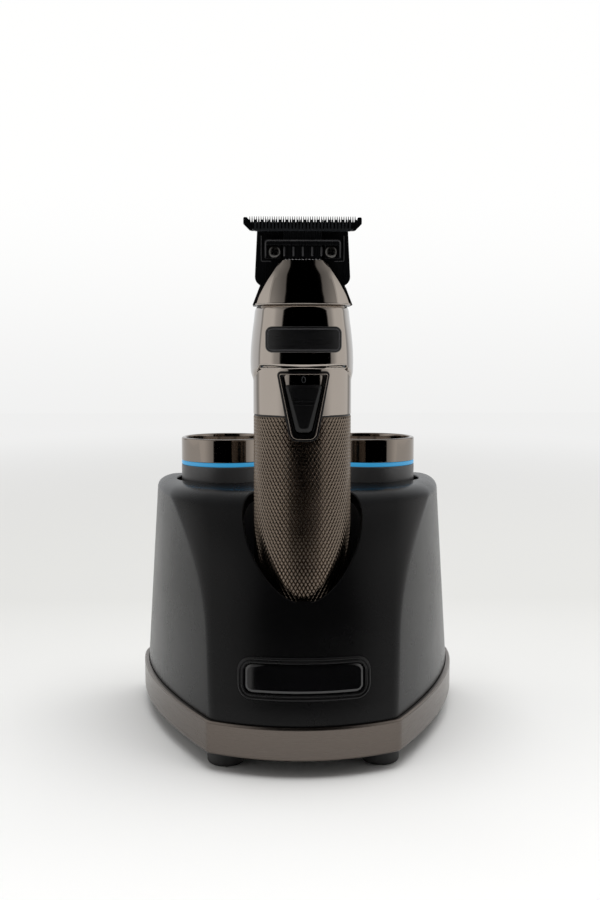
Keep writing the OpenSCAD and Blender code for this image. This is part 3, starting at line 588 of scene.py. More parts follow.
def shell_side(z):
    share = min(1.0, max(0.0, z - SHELL_TOP + EDGE_H) / EDGE_H)
    return SHELL_INSET + SIDE_LEAN * max(0.0, z - BAND_TOP) + EDGE_W * (1 - math.sqrt(1 - share * share))


def ridge_length(z, melts_from=44.0):
    """The ridge is crisp at the foot and melts into the dome towards the top."""
    share = max(0.0, (z - melts_from) / (SHELL_TOP - melts_from))
    return 1.8 + 9.0 * share * share


def shell_loop(z, depth=0.0, turn=0.0):
    """The shell's surface at a height, moved in by a depth; turn is the angle round the top curve."""
    return plan(shell_front(z) + depth * math.cos(turn), shell_side(z) + depth,
                z - depth * math.sin(turn), ridge_length(z))


def shell_height(x, y):
    """Height of the outer surface above a point of the plan."""
    low, high = BAND_TOP, SHELL_TOP
    for _ in range(44):
        z = (low + high) / 2
        inset = shell_side(z)
        rc, ys = rear_corner(inset)
        inside = y >= shell_front(z) + front_bow(x)
        if y > ys:
            dx = max(0.0, abs(x) - (BASE_HW - inset - rc))
            inside = inside and dx * dx + (y - ys) ** 2 <= rc * rc
        else:
            inside = inside and abs(x) <= side_x(y) - inset
        low, high = (z, high) if inside else (low, z)
    return low


def shell_normal(x, y, step=0.05):
    dx = (shell_height(x + step, y) - shell_height(x - step, y)) / (2 * step)
    dy = (shell_height(x, y + step) - shell_height(x, y - step)) / (2 * step)
    return Vector((-dx, -dy, 1.0)).normalized()


def hole_edge(centre, radius, round_r=0.55, steps=120):
    """Rolls a ball round the edge of a hole in the shell: for each direction, the touching point on the
    shell and the loop of the rounded lip and wall below it."""
    touching, lips = [], []
    for k in range(steps):
        a = 2 * math.pi * k / steps
        out = Vector((math.sin(a), -math.cos(a), 0.0))
        reach = radius + round_r
        for _ in range(4):
            spot = Vector((*centre, 0.0)) + out * reach
            normal = shell_normal(spot.x, spot.y)
            reach = radius + round_r * (1 + normal.dot(out))
        spot = Vector((*centre, 0.0)) + out * reach
        spot.z = shell_height(spot.x, spot.y)
        inner = -out
        bend = math.acos(max(-1.0, min(1.0, normal.dot(inner))))
        lip = []
        for s in range(9):
            t = s / 8
            way = (normal * math.sin((1 - t) * bend) + inner * math.sin(t * bend)) / math.sin(bend)
            lip.append(spot - normal * round_r + way * round_r)
        drop = SHELL_WALL / max(normal.z, 0.3) + round_r
        lip.append(lip[-1] - Vector((0, 0, drop)))
        lip.append(lip[-1] + out * (2 * round_r + 0.7))
        lip.append(spot - normal * 0.35 + out * 0.25)
        touching.append(spot)
        lips.append(lip)
    return touching, lips


def make_shell():
    turns = [math.radians(4 * k) for k in range(1, 15)] + [math.radians(58 + 2 * k) for k in range(17)]

    def curved(depth, some):
        rise = SHELL_TOP - FRONT_CURVE_Z
        return [shell_loop(FRONT_CURVE_Z + rise * math.sin(t), depth, t) for t in some]

    outer = [shell_loop(z) for z in (PLATE_TOP, BAND_TOP, 24.0, 31.0, 38.5, FRONT_CURVE_Z)]
    inner = [shell_loop(z, SHELL_WALL) for z in (PLATE_TOP, BAND_TOP, FRONT_CURVE_Z)]
    inner += curved(SHELL_WALL, turns[::2])
    shell = loft("shell", inner[::-1] + outer + curved(0.0, turns), SOFT_BLACK, sharp=50.0)
    lips = []
    well_r = WELL_R + WELL_GAP
    for x, y, radius in ((0.0, AXIS_Y, CRADLE_R), (-WELL_X, WELL_Y, well_r), (WELL_X, WELL_Y, well_r)):
        touching, lip = hole_edge((x, y), radius)
        outline = [[(p.x, p.y, z) for p in touching] for z in (SHELL_TOP - 34.0, SHELL_TOP + 6.0)]
        cut(shell, loft("hole", outline, SOFT_BLACK), 50.0)
        loops = [[tuple(row[j]) for row in lip] for j in range(len(lip[0]))]
        lips.append(loft("lip", loops, SOFT_BLACK, cyclic=True, sharp=50.0))
    ring = lathe("inlet_hole", [(4.75, -8.0), (4.75, 8.0)], SOFT_BLACK, (0.0, 0.0), cyclic=False)
    for vertex in ring.data.vertices:
        x, y, z = vertex.co
        vertex.co = (x, z + INLET.high[1] * MM, y + INLET_Z * MM)
    ring.data.flip_normals()
    cut(shell, ring, 50.0)
    place(join("shell", [shell] + lips), "stand", "soft_black", "stand_shell")


def make_band():
    """Satin metal band with a rounded lip above and below."""
    foot = [(0.0, 0.9), (0.12, 0.5), (0.45, 0.15), (0.9, 0.0)]
    head = [(0.85, 0.0), (0.75, 0.16), (0.6, 0.2), (0.3, 0.3), (0.08, 0.5), (0.0, 0.8)]
    profile = ([(FOOT_H, BAND_T)] + [(FOOT_H + up, d) for up, d in foot]
               + [(BAND_TOP - down, d) for down, d in head] + [(BAND_TOP, BAND_T)])
    loops = [plan(FRONT_Y + d, d, z, ridge=1.4) for z, d in held(profile)]
    place(loft("band", loops, BAND_METAL, cyclic=True), "stand", "band_metal", "base_band")


def make_feet():
    for name in ("foot_front_left", "foot_front_right", "foot_rear_left", "foot_rear_right"):
        box = Box(name)
        radius = box.half
        profile = ([(0.5, 0.0)] + arc(radius - 1.4, 1.4, 1.4, -90, 0) +
                   [(radius, FOOT_H - 0.9), (radius - 0.35, FOOT_H - 0.8), (radius - 0.35, FOOT_H),
                    (0.5, FOOT_H)])
        foot = lathe("rubber_" + name, profile, RUBBER, box.middle, cyclic=False, steps=64)
        place(foot, "stand", "rubber_black", name)


# ---------------------------------------------------------------- badge

def on_front(x, proud, z):
    """A point standing proud of the shell's lower front."""
    normal = Vector((x / FRONT_BOW_R, -1.0, FRONT_LEAN)).normalized()
    return Vector((x, shell_front(z) + front_bow(x), z)) + normal * proud


def badge_outline(inset):
    outline = rectangle(BADGE.half - inset, BADGE.low[2] + inset, BADGE.high[2] - inset)
    return rounded(outline, max(BADGE_CORNER_R - inset, 1.2), 8)


def make_badge():
    """Two rounded frames, one inside the other, round a bare glossy face with a wide bevelled edge."""
    steps = [(0.0, -0.4), (0.0, 0.35), (0.12, 0.62), (0.4, 0.86), (0.7, 0.92), (0.95, 0.84), (1.05, 0.55),
             (1.3, 0.55), (1.42, 0.9), (1.7, 1.05), (1.95, 0.95), (2.1, 0.6), (2.15, 0.1), (2.15, -0.4)]
    ring = relief("badge_ring", badge_outline, steps, on_front, SATIN_BLACK, cyclic=True, sharp=60.0)
    place(ring, "stand", "gloss_black", "badge_frame")
    steps = [(2.3, -0.2), (2.3, 0.22), (2.4, 0.3), (3.25, 0.6), (3.4, 0.64), (3.45, 0.645), (3.6, 0.645)]
    face = relief("badge_face", badge_outline, steps, on_front, GLOSS_BLACK, sharp=25.0)
    place(face, "stand", "gloss_black", "badge_plate")


# ---------------------------------------------------------------- wells and inlet

def make_wells():
    """Metal rim, lit ring, grey collar and black cup of each well."""
    wall, bore_r, depth = 1.7, 13.2, 40.0
    cup_r = WELL_R - wall - 0.1
    cup_top = RIM_TOP - 2.6
    cup_floor = cup_top - depth
    glow_low, glow_top = COLLAR_TOP + 0.15, LIGHT_TOP - 0.45
    rim = ([(WELL_R - wall, glow_top), (WELL_R - 0.25, glow_top)]
           + arc(WELL_R - 0.25, glow_top + 0.25, 0.25, -90, 0, 3)
           + arc(WELL_R - 0.7, RIM_TOP - 0.7, 0.7, 0, 90) + arc(WELL_R - 1.15, RIM_TOP - 0.55, 0.55, 90, 180))
    ring = ([(cup_r + 0.1, glow_low), (WELL_R - 0.45, glow_low)]
            + arc(WELL_R - 0.45, glow_low + 0.4, 0.4, -90, 0, 4)
            + arc(WELL_R - 0.45, glow_top - 0.4, 0.4, 0, 90, 4) + [(cup_r + 0.1, glow_top)])
    collar = ([(cup_r + 0.1, cup_floor), (WELL_R, cup_floor)]
              + arc(WELL_R - 0.35, glow_low - 0.35, 0.35, 0, 90, 4)
              + [(cup_r + 0.65, glow_low), (cup_r + 0.65, COLLAR_TOP - 6.0), (cup_r + 0.1, COLLAR_TOP - 6.0)])
    for side, sign in (("left", -1.0), ("right", 1.0)):
        base = Box("well_cup_" + side).low[2]
        cup = ([(0.5, base), (WELL_R - 0.4, base)] + arc(WELL_R - 0.4, base + 0.4, 0.4, -90, 0, 3)
               + [(WELL_R, cup_floor - 0.02), (cup_r, cup_floor - 0.02)]
               + arc(cup_r - 0.3, cup_top - 0.3, 0.3, 0, 90, 4)
               + arc(bore_r + 0.8, cup_top - 0.8, 0.8, 90, 180)
               + arc(bore_r - 1.0, cup_floor + 1.0, 1.0, 0, -90) + [(0.5, cup_floor)])
        for name, profile, material, slot, replaced in (
                ("rim_", rim, RIM_METAL, "gunmetal", "well_rim_"),
                ("light_", ring, LIGHT_BLUE, "light_blue", "light_ring_"),
                ("collar_", collar, COLLAR_GREY, "collar_grey", "well_collar_"),
                ("cup_", cup, BLACK_PLASTIC, "black_plastic", "well_cup_")):
            piece = lathe(name + side, profile, material, (sign * WELL_X, WELL_Y), cyclic=name != "cup_")
            place(piece, "stand", slot, replaced + side)


def make_inlet():
    """Turned jack in the rear wall with a bore and its centre pin."""
    face = INLET.high[1]
    profile = ([(2.75, -9.0), (2.75, -0.4)] + arc(3.15, -0.4, 0.4, 180, 90, 4) + arc(4.1, -0.5, 0.5, 90, 0, 4)
               + [(4.6, -12.0), (0.4, -12.0), (0.4, -9.0)])
    jack = lathe("inlet_jack", profile, BLACK_PLASTIC, (0.0, 0.0), steps=64)
    pin = lathe("inlet_pin", [(0.1, -9.2), (0.95, -9.2), (0.95, -2.0), (0.7, -1.5), (0.1, -1.35)],
                SCREW_STEEL, (0.0, 0.0), cyclic=False, steps=32)
    for obj in (jack, pin):
        for vertex in obj.data.vertices:
            x, y, h = vertex.co
            vertex.co = (x, h + face * MM, INLET_Z * MM - y)
    housing = block("inlet_block", (-6.0, face - 12.0, PLATE_TOP), (6.0, face - 4.1, INLET_Z - 1.0),
                    BLACK_PLASTIC, 0.4)
    place(join("inlet_jack", [jack, housing]), "stand", "black_plastic", "power_inlet")
    place(pin, "stand", "screw_steel")


# ---------------------------------------------------------------- repeating pieces

def close_tree(tree, out, geometry, material):
    """Makes copies real, gives them their material and puts them out."""
    real = wire(tree, "GeometryNodeRealizeInstances", {0: geometry})
    done = {"Geometry": real, "Material": material}
    feed(out["Geometry"], wire(tree, "GeometryNodeSetMaterial", done))
    return tree


def vector(tree, x, y, z):
    return wire(tree, "ShaderNodeCombineXYZ", {0: x, 1: y, 2: z})


def build_knurl():
    """Flat-topped diamonds in staggered rows round a barrel, left out under the switch."""
    tree, given, out = new_group("diamond_knurl", "GeometryNodeTree", {
        "Barrel": "Geometry", "Radius": 0.017, "Depth": 0.0004, "Around": 76, "Rows": 74, "Bottom": 0.03,
        "Row Step": 0.0012, "Axis Y": 0.0, "Top Share": 0.5, "Opening Tip": 0.1,
        "Opening Half Width": 0.004, "Opening Slope": 0.2, "Material": "Material"}, {"Geometry": "Geometry"})
    index = wire(tree, "GeometryNodeInputIndex")
    around, depth, row_step = given["Around"], given["Depth"], given["Row Step"]
    row = (index / around).maths("FLOOR")
    column = index - row * around
    stagger = row.maths("MODULO", 2.0) * 0.5
    angle = (column + stagger) / around * (2 * math.pi)
    sine, cosine = angle.maths("SINE"), angle.maths("COSINE")
    root_r = given["Radius"] - depth
    x, y = sine * root_r, given["Axis Y"] - cosine * root_r
    z = given["Bottom"] + row * row_step
    points = wire(tree, "GeometryNodePoints", {"Count": around * given["Rows"],
                                               "Position": vector(tree, x, y, z)})
    above = z - given["Opening Tip"]
    half = given["Opening Half Width"] + above * given["Opening Slope"]
    covered = above.maths("GREATER_THAN") * x.maths("ABSOLUTE").maths("LESS_THAN", half)
    covered = covered * cosine.maths("GREATER_THAN")
    diamond = wire(tree, "GeometryNodeMeshCone", {"Vertices": 4, "Radius Top": given["Top Share"],
                                                  "Radius Bottom": 1.0, "Depth": 1.0})
    size = vector(tree, root_r * math.pi / around, row_step, depth)
    turned = wire(tree, "FunctionNodeEulerToRotation", {0: vector(tree, math.pi / 2, 0.0, angle)})
    copies = wire(tree, "GeometryNodeInstanceOnPoints", {
        "Points": points, "Selection": 1.0 - covered, "Instance": diamond, "Rotation": turned, "Scale": size})
    both = node(tree, "GeometryNodeJoinGeometry")
    feed(both.inputs[0], copies)
    feed(both.inputs[0], given["Barrel"])
    return close_tree(tree, out, both.outputs[0], given["Material"])


def build_row():
    """A row of tapered teeth or ribs: square frusta of a given size, a step apart, standing along z."""
    tree, given, out = new_group("tooth_row", "GeometryNodeTree", {
        "Start": (0, 0, 0), "Step": (0.001, 0, 0), "Count": 10, "Size": (0.001, 0.001, 0.001),
        "Tip Share": 0.5, "Material": "Material"}, {"Geometry": "Geometry"})
    walk = vector_maths(tree, "SCALE", {0: given["Step"], "Scale": wire(tree, "GeometryNodeInputIndex")})
    spot = vector_maths(tree, "ADD", {0: given["Start"], 1: walk})
    points = wire(tree, "GeometryNodePoints", {"Count": given["Count"], "Position": spot})
    side = math.sqrt(0.5)
    cone = wire(tree, "GeometryNodeMeshCone", {"Vertices": 4, "Radius Top": given["Tip Share"] * side,
                                               "Radius Bottom": side, "Depth": 1.0})
    quarter = wire(tree, "FunctionNodeEulerToRotation", {0: (0.0, 0.0, math.pi / 4)})
    square = wire(tree, "GeometryNodeTransform", {"Geometry": cone, "Rotation": quarter})
    copies = wire(tree, "GeometryNodeInstanceOnPoints", {"Points": points, "Instance": square,
                                                         "Scale": given["Size"]})
    return close_tree(tree, out, copies, given["Material"])


def build_scatter():
    """Copies of one template on the points of a mesh, such as screws in their places."""
    tree, given, out = new_group("set_in_places", "GeometryNodeTree", {
        "Places": "Geometry", "Template": "Object", "Material": "Material"}, {"Geometry": "Geometry"})
    template = wire(tree, "GeometryNodeObjectInfo", {"Object": given["Template"]}, "Geometry")
    places = wire(tree, "GeometryNodeMeshToPoints", {"Mesh": given["Places"]})
    copies = wire(tree, "GeometryNodeInstanceOnPoints", {"Points": places, "Instance": template})
    return close_tree(tree, out, copies, given["Material"])


KNURL = build_knurl()
TOOTH_ROW = build_row()
IN_PLACES = build_scatter()


def grown(obj, tree, values, sharp=20.0):
    """Runs a geometry tree on an object with its named inputs set, and keeps the plain mesh."""
    modifier = obj.modifiers.new("grown", "NODES")
    modifier.node_group = tree
    for item in tree.interface.items_tree:
        if item.in_out == "INPUT" and item.name in values:
            modifier[item.identifier] = values[item.name]
    return freeze(obj, sharp)


def points_object(name, points=()):
    mesh = bpy.data.meshes.new(name)
    mesh.from_pydata([[v * MM for v in point] for point in points], [], [])
    return linked(name, mesh)


def tooth_row(name, start, pitch, count, size, tip_share, material):
    return grown(points_object(name), TOOTH_ROW, {
        "Start": [v * MM for v in start], "Step": [pitch * MM, 0.0, 0.0], "Count": count,
        "Size": [v * MM for v in size], "Tip Share": tip_share, "Material": material})


def set_in_places(name, template, points, material):
    obj = grown(points_object(name, points), IN_PLACES, {"Template": template, "Material": material}, 32.0)
    bpy.data.objects.remove(template, do_unlink=True)
    return obj


# ---------------------------------------------------------------- body of the trimmer

BEZEL_W, BEZEL_TIP_W = 18.2, 9.4
BEZEL_SLOPE = (BEZEL_W - BEZEL_TIP_W) / 2 / BEZEL_H
WINDOW_TOP = BEZEL_TOP - 1.1
SLIDER_FOOT_HW = 2.85
SLIDER_SLOPE = 0.235
POCKET_R = BARREL_R - 0.65
KNURL_DEPTH = 0.28
KNURL_AROUND = 76
KNURL_CELL_H = 2.39


def tapered(tip, top, low, high, foot_r, top_r):
    """An upright outline, wider at its top, with two corner radii."""
    return rounded([(-tip, low), (tip, low), (top, high), (-top, high)], [foot_r, foot_r, top_r, top_r], 8)


def bezel_outline(inset):
    return tapered(BEZEL_TIP_W / 2 - inset, BEZEL_W / 2 - inset, BEZEL_TOP - BEZEL_H + inset,
                   BEZEL_TOP - inset, max(3.1 - inset * 0.8, 0.5), max(1.3 - inset * 0.8, 0.4))


def slider_outline(inset, top):
    low = SLIDER.low[2] - 0.3
    wide = SLIDER_FOOT_HW + SLIDER_SLOPE * (top - low)
    return tapered(SLIDER_FOOT_HW - inset, wide - inset, low + inset, top - inset,
                   max(1.9 - inset * 0.5, 0.4), max(1.0 - inset * 0.5, 0.3))


def on_barrel(x, radius, z):
    """A point on a cylinder about the trimmer's axis."""
    return x, AXIS_Y - math.sqrt(radius * radius - x * x), z


def cut_for_switch(obj, sharp=32.0):
    cut(obj, prism("opening", bezel_outline(-0.1), BEZEL_R + 3.0, 8.0, BLACK_PLASTIC), sharp)


def make_barrel():
    """Knurled sleeve between two plain rings, with a black seam above it."""
    root, edge = BARREL_R - KNURL_DEPTH, BARREL_R - 0.12
    low, high = CAP_TOP + 1.0, BARREL_TOP - 0.4
    profile = [(BODY_BORE_R, CAP_TOP), (edge - 0.2, CAP_TOP), (edge, CAP_TOP + 0.2), (edge, CAP_TOP + 0.7)]
    profile += [(root, low + (high - low) * k / 60) for k in range(61)]
    profile += [(edge, BARREL_TOP - 0.3), (edge, BARREL_TOP - 0.12), (edge - 0.12, BARREL_TOP),
                (BODY_BORE_R, BARREL_TOP)]
    barrel = lathe("barrel", profile, KNURL_METAL, steps=2 * KNURL_AROUND)
    cut_for_switch(barrel)
    row_step = KNURL_CELL_H / 2
    rows = int((high - low) / row_step)
    grown(barrel, KNURL, {
        "Radius": BARREL_R * MM, "Depth": KNURL_DEPTH * MM, "Around": KNURL_AROUND, "Rows": rows,
        "Bottom": (high - (rows - 0.5) * row_step) * MM, "Row Step": row_step * MM, "Axis Y": AXIS_Y * MM,
        "Top Share": 0.6, "Opening Tip": (BEZEL_TOP - BEZEL_H + 0.4) * MM,
        "Opening Half Width": (BEZEL_TIP_W / 2 - 0.8) * MM, "Opening Slope": BEZEL_SLOPE,
        "Material": KNURL_METAL})
    place(barrel, "clipper", "knurl_metal", "barrel_sleeve")
    inner, outer, foot, top = BODY_BORE_R + 0.4, BARREL_R - 0.15, BARREL_TOP + 0.02, BARREL_TOP + 0.48
    seam = lathe("seam", [(inner, foot), (outer, foot), (outer, top), (inner, top)], BLACK_PLASTIC)
    cut_for_switch(seam)
    place(seam, "clipper", "knurl_metal")


FRONT_BOW = 27.3
WIDEST_BACK = 0.33
# Ways that the body's surface faces, in degrees from the front, closer together on its corners
FACINGS = ([1.75 * k for k in range(12)] + [21 + 3 * k for k in range(16)] + [69 + 3 * k for k in range(7)]
           + [90 + 5 * k for k in range(19)])


def squared(facing):
    """A broad front, a close corner and a flank that is widest behind the axis."""
    x = y = 0.0
    for bow, start, end in ((FRONT_BOW, 0.0, 21.0), (9.45, 21.0, 69.0), (44.0, 69.0, 90.0)):
        if facing > start:
            a, b = math.radians(start), math.radians(min(facing, end))
            x += bow * (math.sin(b) - math.sin(a))
            y += bow * (math.cos(a) - math.cos(b))
    return x, y


def section_point(facing, w, front, rear, share):
    """A point of the body's section. Share 0 is round, and share 1 is squared."""
    a = math.radians(facing)
    back = WIDEST_BACK * front
    if facing < 90:
        full, part = squared(90.0), squared(facing)
        form = (w * part[0] / full[0], -front + (front + back) * part[1] / full[1])
        return mixed((w * math.sin(a), -front * math.cos(a)), form, share)
    form = (w * math.sin(a), back - (rear - back) * math.cos(a))
    return mixed((w * math.sin(a), -rear * math.cos(a)), form, share)


def ease(share):
    """Smooth step from 0 to 1."""
    share = min(1.0, max(0.0, share))
    return share * share * (3 - 2 * share)


def mirrored(half):
    """A full loop from its right half, which runs from the front to the rear."""
    return half + [(-x, y, z) for x, y, z in half[-2:0:-1]]


def flowing(table, heights):
    """Rows of a table at the given heights, on monotone curves through its own rows."""
    zs = [row[0] for row in table]
    columns = []
    for c in range(1, len(table[0])):
        v = [row[c] for row in table]
        slopes = [(v[k + 1] - v[k]) / (zs[k + 1] - zs[k]) for k in range(len(v) - 1)]
        inner = [2 * a * b / (a + b) if a * b > 0 else 0.0 for a, b in zip(slopes, slopes[1:])]
        tangents = [slopes[0]] + inner + [slopes[-1]]
        column = []
        for z in heights:
            k = max(0, min(len(zs) - 2, sum(1 for q in zs[1:-1] if q <= z)))
            h = zs[k + 1] - zs[k]
            t = (z - zs[k]) / h
            column.append((2 * t ** 3 - 3 * t ** 2 + 1) * v[k] + (t ** 3 - 2 * t ** 2 + t) * h * tangents[k]
                          + (3 * t ** 2 - 2 * t ** 3) * v[k + 1] + (t ** 3 - t ** 2) * h * tangents[k + 1])
        columns.append(column)
    return list(zip(heights, *columns))


def make_housing():
    """Polished shell: a round neck, a brow over it, then a squarer body curled in at its top."""
    neck_r, w1, top_hw, curl = BARREL_R + 0.1, HOUSING.half, 16.4, 1.9
    front, rear = HOUSING_FRONT, BARREL_R
    span = HOUSING_TOP - WAIST_Z
    table = [(BARREL_TOP, w1 - 0.2, front, rear, 0.9), (WAIST_Z, w1 - 0.1, front, rear, 0.9),
             (WAIST_Z + span * 0.15, w1, front, rear, 1.0),
             (WAIST_Z + span * 0.3, w1 - 0.1, front, rear, 1.0),
             (WAIST_Z + span * 0.6, (w1 + top_hw) / 2 + 0.2, front, rear - 0.8, 1.0),
             (WAIST_Z + span * 0.8, top_hw + 0.5, front - 0.4, rear - 1.6, 1.0),
             (HOUSING_TOP, top_hw, front - CAP_SETBACK, 14.4, 1.0)]
    heights = [BARREL_TOP + start + step * k for start, step, count in
               ((0.6, 0.05, 2), (1.3, 0.7, 13), (10.1, 0.2, 46), (19.9, 0.7, 40)) for k in range(count)]
    heights = [z for z in heights if z < HOUSING_TOP - curl] + [HOUSING_TOP - curl]
    rows = [(0.0, row) for row in flowing(table, heights)]
    for turn in (15, 30, 45, 60, 75, 84):
        t = math.radians(turn)
        rows.append((1.25 * (1 - math.cos(t)), flowing(table, [HOUSING_TOP - curl * (1 - math.sin(t))])[0]))
    loops = []
    for inset, (z, w, f, r, share) in rows:
        half = []
        for facing in FACINGS:
            ahead = 1.0 - ease((facing - 56.0) / 28.0)
            t = ease((z - SHOULDER_Z - 0.2 - 4.5 * ahead) / (3.7 - 2.0 * ahead))
            neck = section_point(facing, neck_r, neck_r - 0.6 * min(1.0, (z - BARREL_TOP) / 8), neck_r, 0.0)
            body = section_point(facing, w - inset, f - inset, r - inset, share)
            half.append((neck[0] + (body[0] - neck[0]) * t, AXIS_Y + neck[1] + (body[1] - neck[1]) * t, z))
        loops.append(mirrored(half))
    turns = [math.radians(a) for a in FACINGS]
    for radius, z in ((NECK_BORE_R, HOUSING_TOP), (NECK_BORE_R, BARREL_TOP + 16.4),
                      (BODY_BORE_R, BARREL_TOP + 16.4), (BODY_BORE_R, BARREL_TOP + 0.05),
                      (neck_r - 1.0, BARREL_TOP + 0.05), (neck_r - 1.0, BARREL_TOP + 0.5),
                      (neck_r - 0.12, BARREL_TOP + 0.5)):
        loops.append(mirrored([(radius * math.sin(a), AXIS_Y - radius * math.cos(a), z) for a in turns]))
    housing = loft("housing", loops, GUNMETAL, cyclic=True, sharp=28.0)
    cut_for_switch(housing, 28.0)
    place(housing, "clipper", "gunmetal", "upper_housing")


PLATE_BOW_R = 32.0


def on_plate(x, proud, z):
    """A point proud of the name plate's bow, which is flatter than the housing behind it."""
    centre_y = AXIS_Y - HOUSING_FRONT + PLATE_BOW_R
    return x, centre_y - math.sqrt((PLATE_BOW_R + proud) ** 2 - x * x), z


def make_name_plate():
    """Bare plate with a rounded black edge and a fine metal line inside it."""
    z0, z1 = PLATE.low[2] - 0.65, PLATE.high[2] + 0.3

    def outline(inset):
        return rounded(rectangle(PLATE.half - inset, z0 + inset, z1 - inset), max(2.2 - inset, 0.5), 8)

    steps = [(0.0, -2.2), (0.0, 0.3), (0.08, 0.48), (0.25, 0.6), (0.5, 0.64), (0.62, 0.6), (0.66, 0.4),
             (0.98, 0.4), (1.02, 0.5), (1.1, 0.55), (1.2, 0.55), (1.3, 0.55)]
    plate = relief("name_plate_face", outline, steps, on_plate, PLATE_BLACK)
    place(plate, "clipper", "gloss_black", "name_plate")
    steps = [(0.66, 0.3), (0.66, 0.52), (0.74, 0.6), (0.84, 0.63), (0.94, 0.6), (1.02, 0.52), (1.02, 0.3)]
    line = relief("name_plate_line", outline, steps, on_plate, LINE_METAL, cyclic=True, sharp=60.0)
    place(line, "clipper", "gunmetal")


def make_bezel():
    """Tapered surround: black outer edge, a fine bright line, and a black band that falls to the pocket."""
    window = slider_outline(0.0, WINDOW_TOP)

    def towards_window(step):
        inset, share = step
        return [mixed(a, b, share) for a, b in zip(bezel_outline(inset), window)]

    steps = [((0.0, 0), -2.2), ((0.0, 0), -0.3), ((0.08, 0), -0.16), ((0.2, 0), -0.1), ((0.66, 0), -0.1),
             ((0.7, 0), -0.3), ((1.0, 0), -0.3), ((1.0, 0.1), -0.26), ((1.0, 0.6), -0.34),
             ((1.0, 0.85), -0.46), ((1.0, 0.95), -0.6), ((1.0, 1), -0.8), ((1.0, 1), -2.2)]
    band = relief("bezel_band", towards_window, steps, on_barrel, BEZEL_BLACK, BEZEL_R, True, 45.0)
    place(band, "clipper", "black_plastic", "switch_bezel")
    steps = [(0.68, -0.5), (0.68, -0.1), (0.74, -0.03), (0.84, 0.0), (0.94, -0.03), (1.0, -0.1), (1.0, -0.5)]
    line = relief("bezel_line", bezel_outline, steps, on_barrel, RIM_METAL, BEZEL_R, True, 60.0)
    place(line, "clipper", "gunmetal")
    under = slider_outline(-0.15, WINDOW_TOP + 0.15)
    floor = relief("switch_floor", lambda _: under, [(0, -0.9), (0, 0.0)], on_barrel, GUNMETAL, POCKET_R)
    place(floor, "clipper", "gunmetal")


def make_numeral():
    """A plain printed 0 in the window above the slider."""
    z = (SLIDER.high[2] + WINDOW_TOP) / 2
    turns = [-2 * math.pi * k / 32 for k in range(32)]

    def oval(size):
        return [(size[0] * math.sin(a), z + size[1] * math.cos(a)) for a in turns]

    outer, inner = (0.75, 1.15), (0.42, 0.8)
    steps = [(outer, -0.02), (outer, 0.05), (inner, 0.05), (inner, -0.02)]
    place(relief("numeral", oval, steps, on_barrel, NUMERAL_GREY, POCKET_R, True), "clipper", "gunmetal")


def make_slider():
    """Tapered thumb slider with bevelled flanks, a flat field and two ridges."""
    top = SLIDER.high[2] + 0.15
    rise = AXIS_Y - SLIDER.low[1]
    steps = [(0.25, POCKET_R + 0.25), (0.25, rise - 1.05), (0.35, rise - 0.9), (0.5, rise - 0.8),
             (1.35, rise - 0.24), (1.5, rise - 0.18), (1.7, rise - 0.16), (2.0, rise - 0.16)]
    slider = relief("slider", lambda inset: slider_outline(inset, top), steps, on_barrel, SATIN_BLACK)
    ridge_z = BARREL_TOP + 5.4
    ridges = [block("ridge", (-hw, AXIS_Y - rise + 0.02, z), (hw, AXIS_Y - rise + 0.9, z + 0.34),
                    SATIN_BLACK, 0.1) for hw, z in ((3.9, ridge_z), (3.65, ridge_z - 1.25))]
    mid = SLIDER.high[2] - 6.6
    stem = block("stem", (-1.5, AXIS_Y - POCKET_R - 0.6, mid - 2.0), (1.5, AXIS_Y - 14.2, mid + 2.0),
                 SATIN_BLACK)
    place(join("slider", [slider, stem] + ridges), "slider", "black_plastic", "switch_slider")


# ---------------------------------------------------------------- head

NOSE_ROWS = [(0.1, 16.0, 11.8, 0.0), (3.0, 14.95, 11.4, 1.45), (5.6, 13.65, 10.9, 2.85),
             (8.4, 12.05, 10.1, 4.4), (11.4, 10.05, 9.0, 6.15), (15.4, 7.6, 7.1, 8.85)]
NOSE_BACK = -BLADE_FRONT - 0.2
NOSE_SIDE = NOSE_BACK - 3.3
NOSE_FRONT = HOUSING_FRONT - CAP_SETBACK


def nose_loop(hw, edge, front, z, thick=0.0):
    """Section of the cap: a bowed front, a narrow bevel along each ridge, a flank and a short side."""
    def bowed(x):
        return -front + x * x / (2 * FRONT_BOW)

    turn_y = max(NOSE_SIDE + thick, bowed(edge) + 0.4)
    side = Vector((hw - edge, turn_y - bowed(edge))).normalized()
    half = [(x, bowed(x)) for x in [(edge - 0.3) * k / 12 for k in range(13)]]
    half += [(edge + side.x * 0.3, bowed(edge) + side.y * 0.3), (hw, turn_y), (hw, NOSE_BACK),
             (0.0, NOSE_BACK)]
    return mirrored([(x, AXIS_Y + y, z) for x, y in half])


def nose_loops(thick, raise_top=0.0, lower_foot=0.0, count=18):
    """Sections of the cap from its foot to its top, inset by a wall."""
    foot, top = NOSE_ROWS[0][0], NOSE_ROWS[-1][0]
    heights = [foot + (top - foot) * k / count for k in range(count + 1)]
    loops = []
    for k, (h, hw, edge, drop) in enumerate(flowing(NOSE_ROWS, heights)):
        z = HOUSING_TOP + h + (raise_top if k == count else 0.0) - (lower_foot if k == 0 else 0.0)
        loops.append(nose_loop(hw - thick, edge - thick, NOSE_FRONT - drop - thick, z, thick))
    return loops


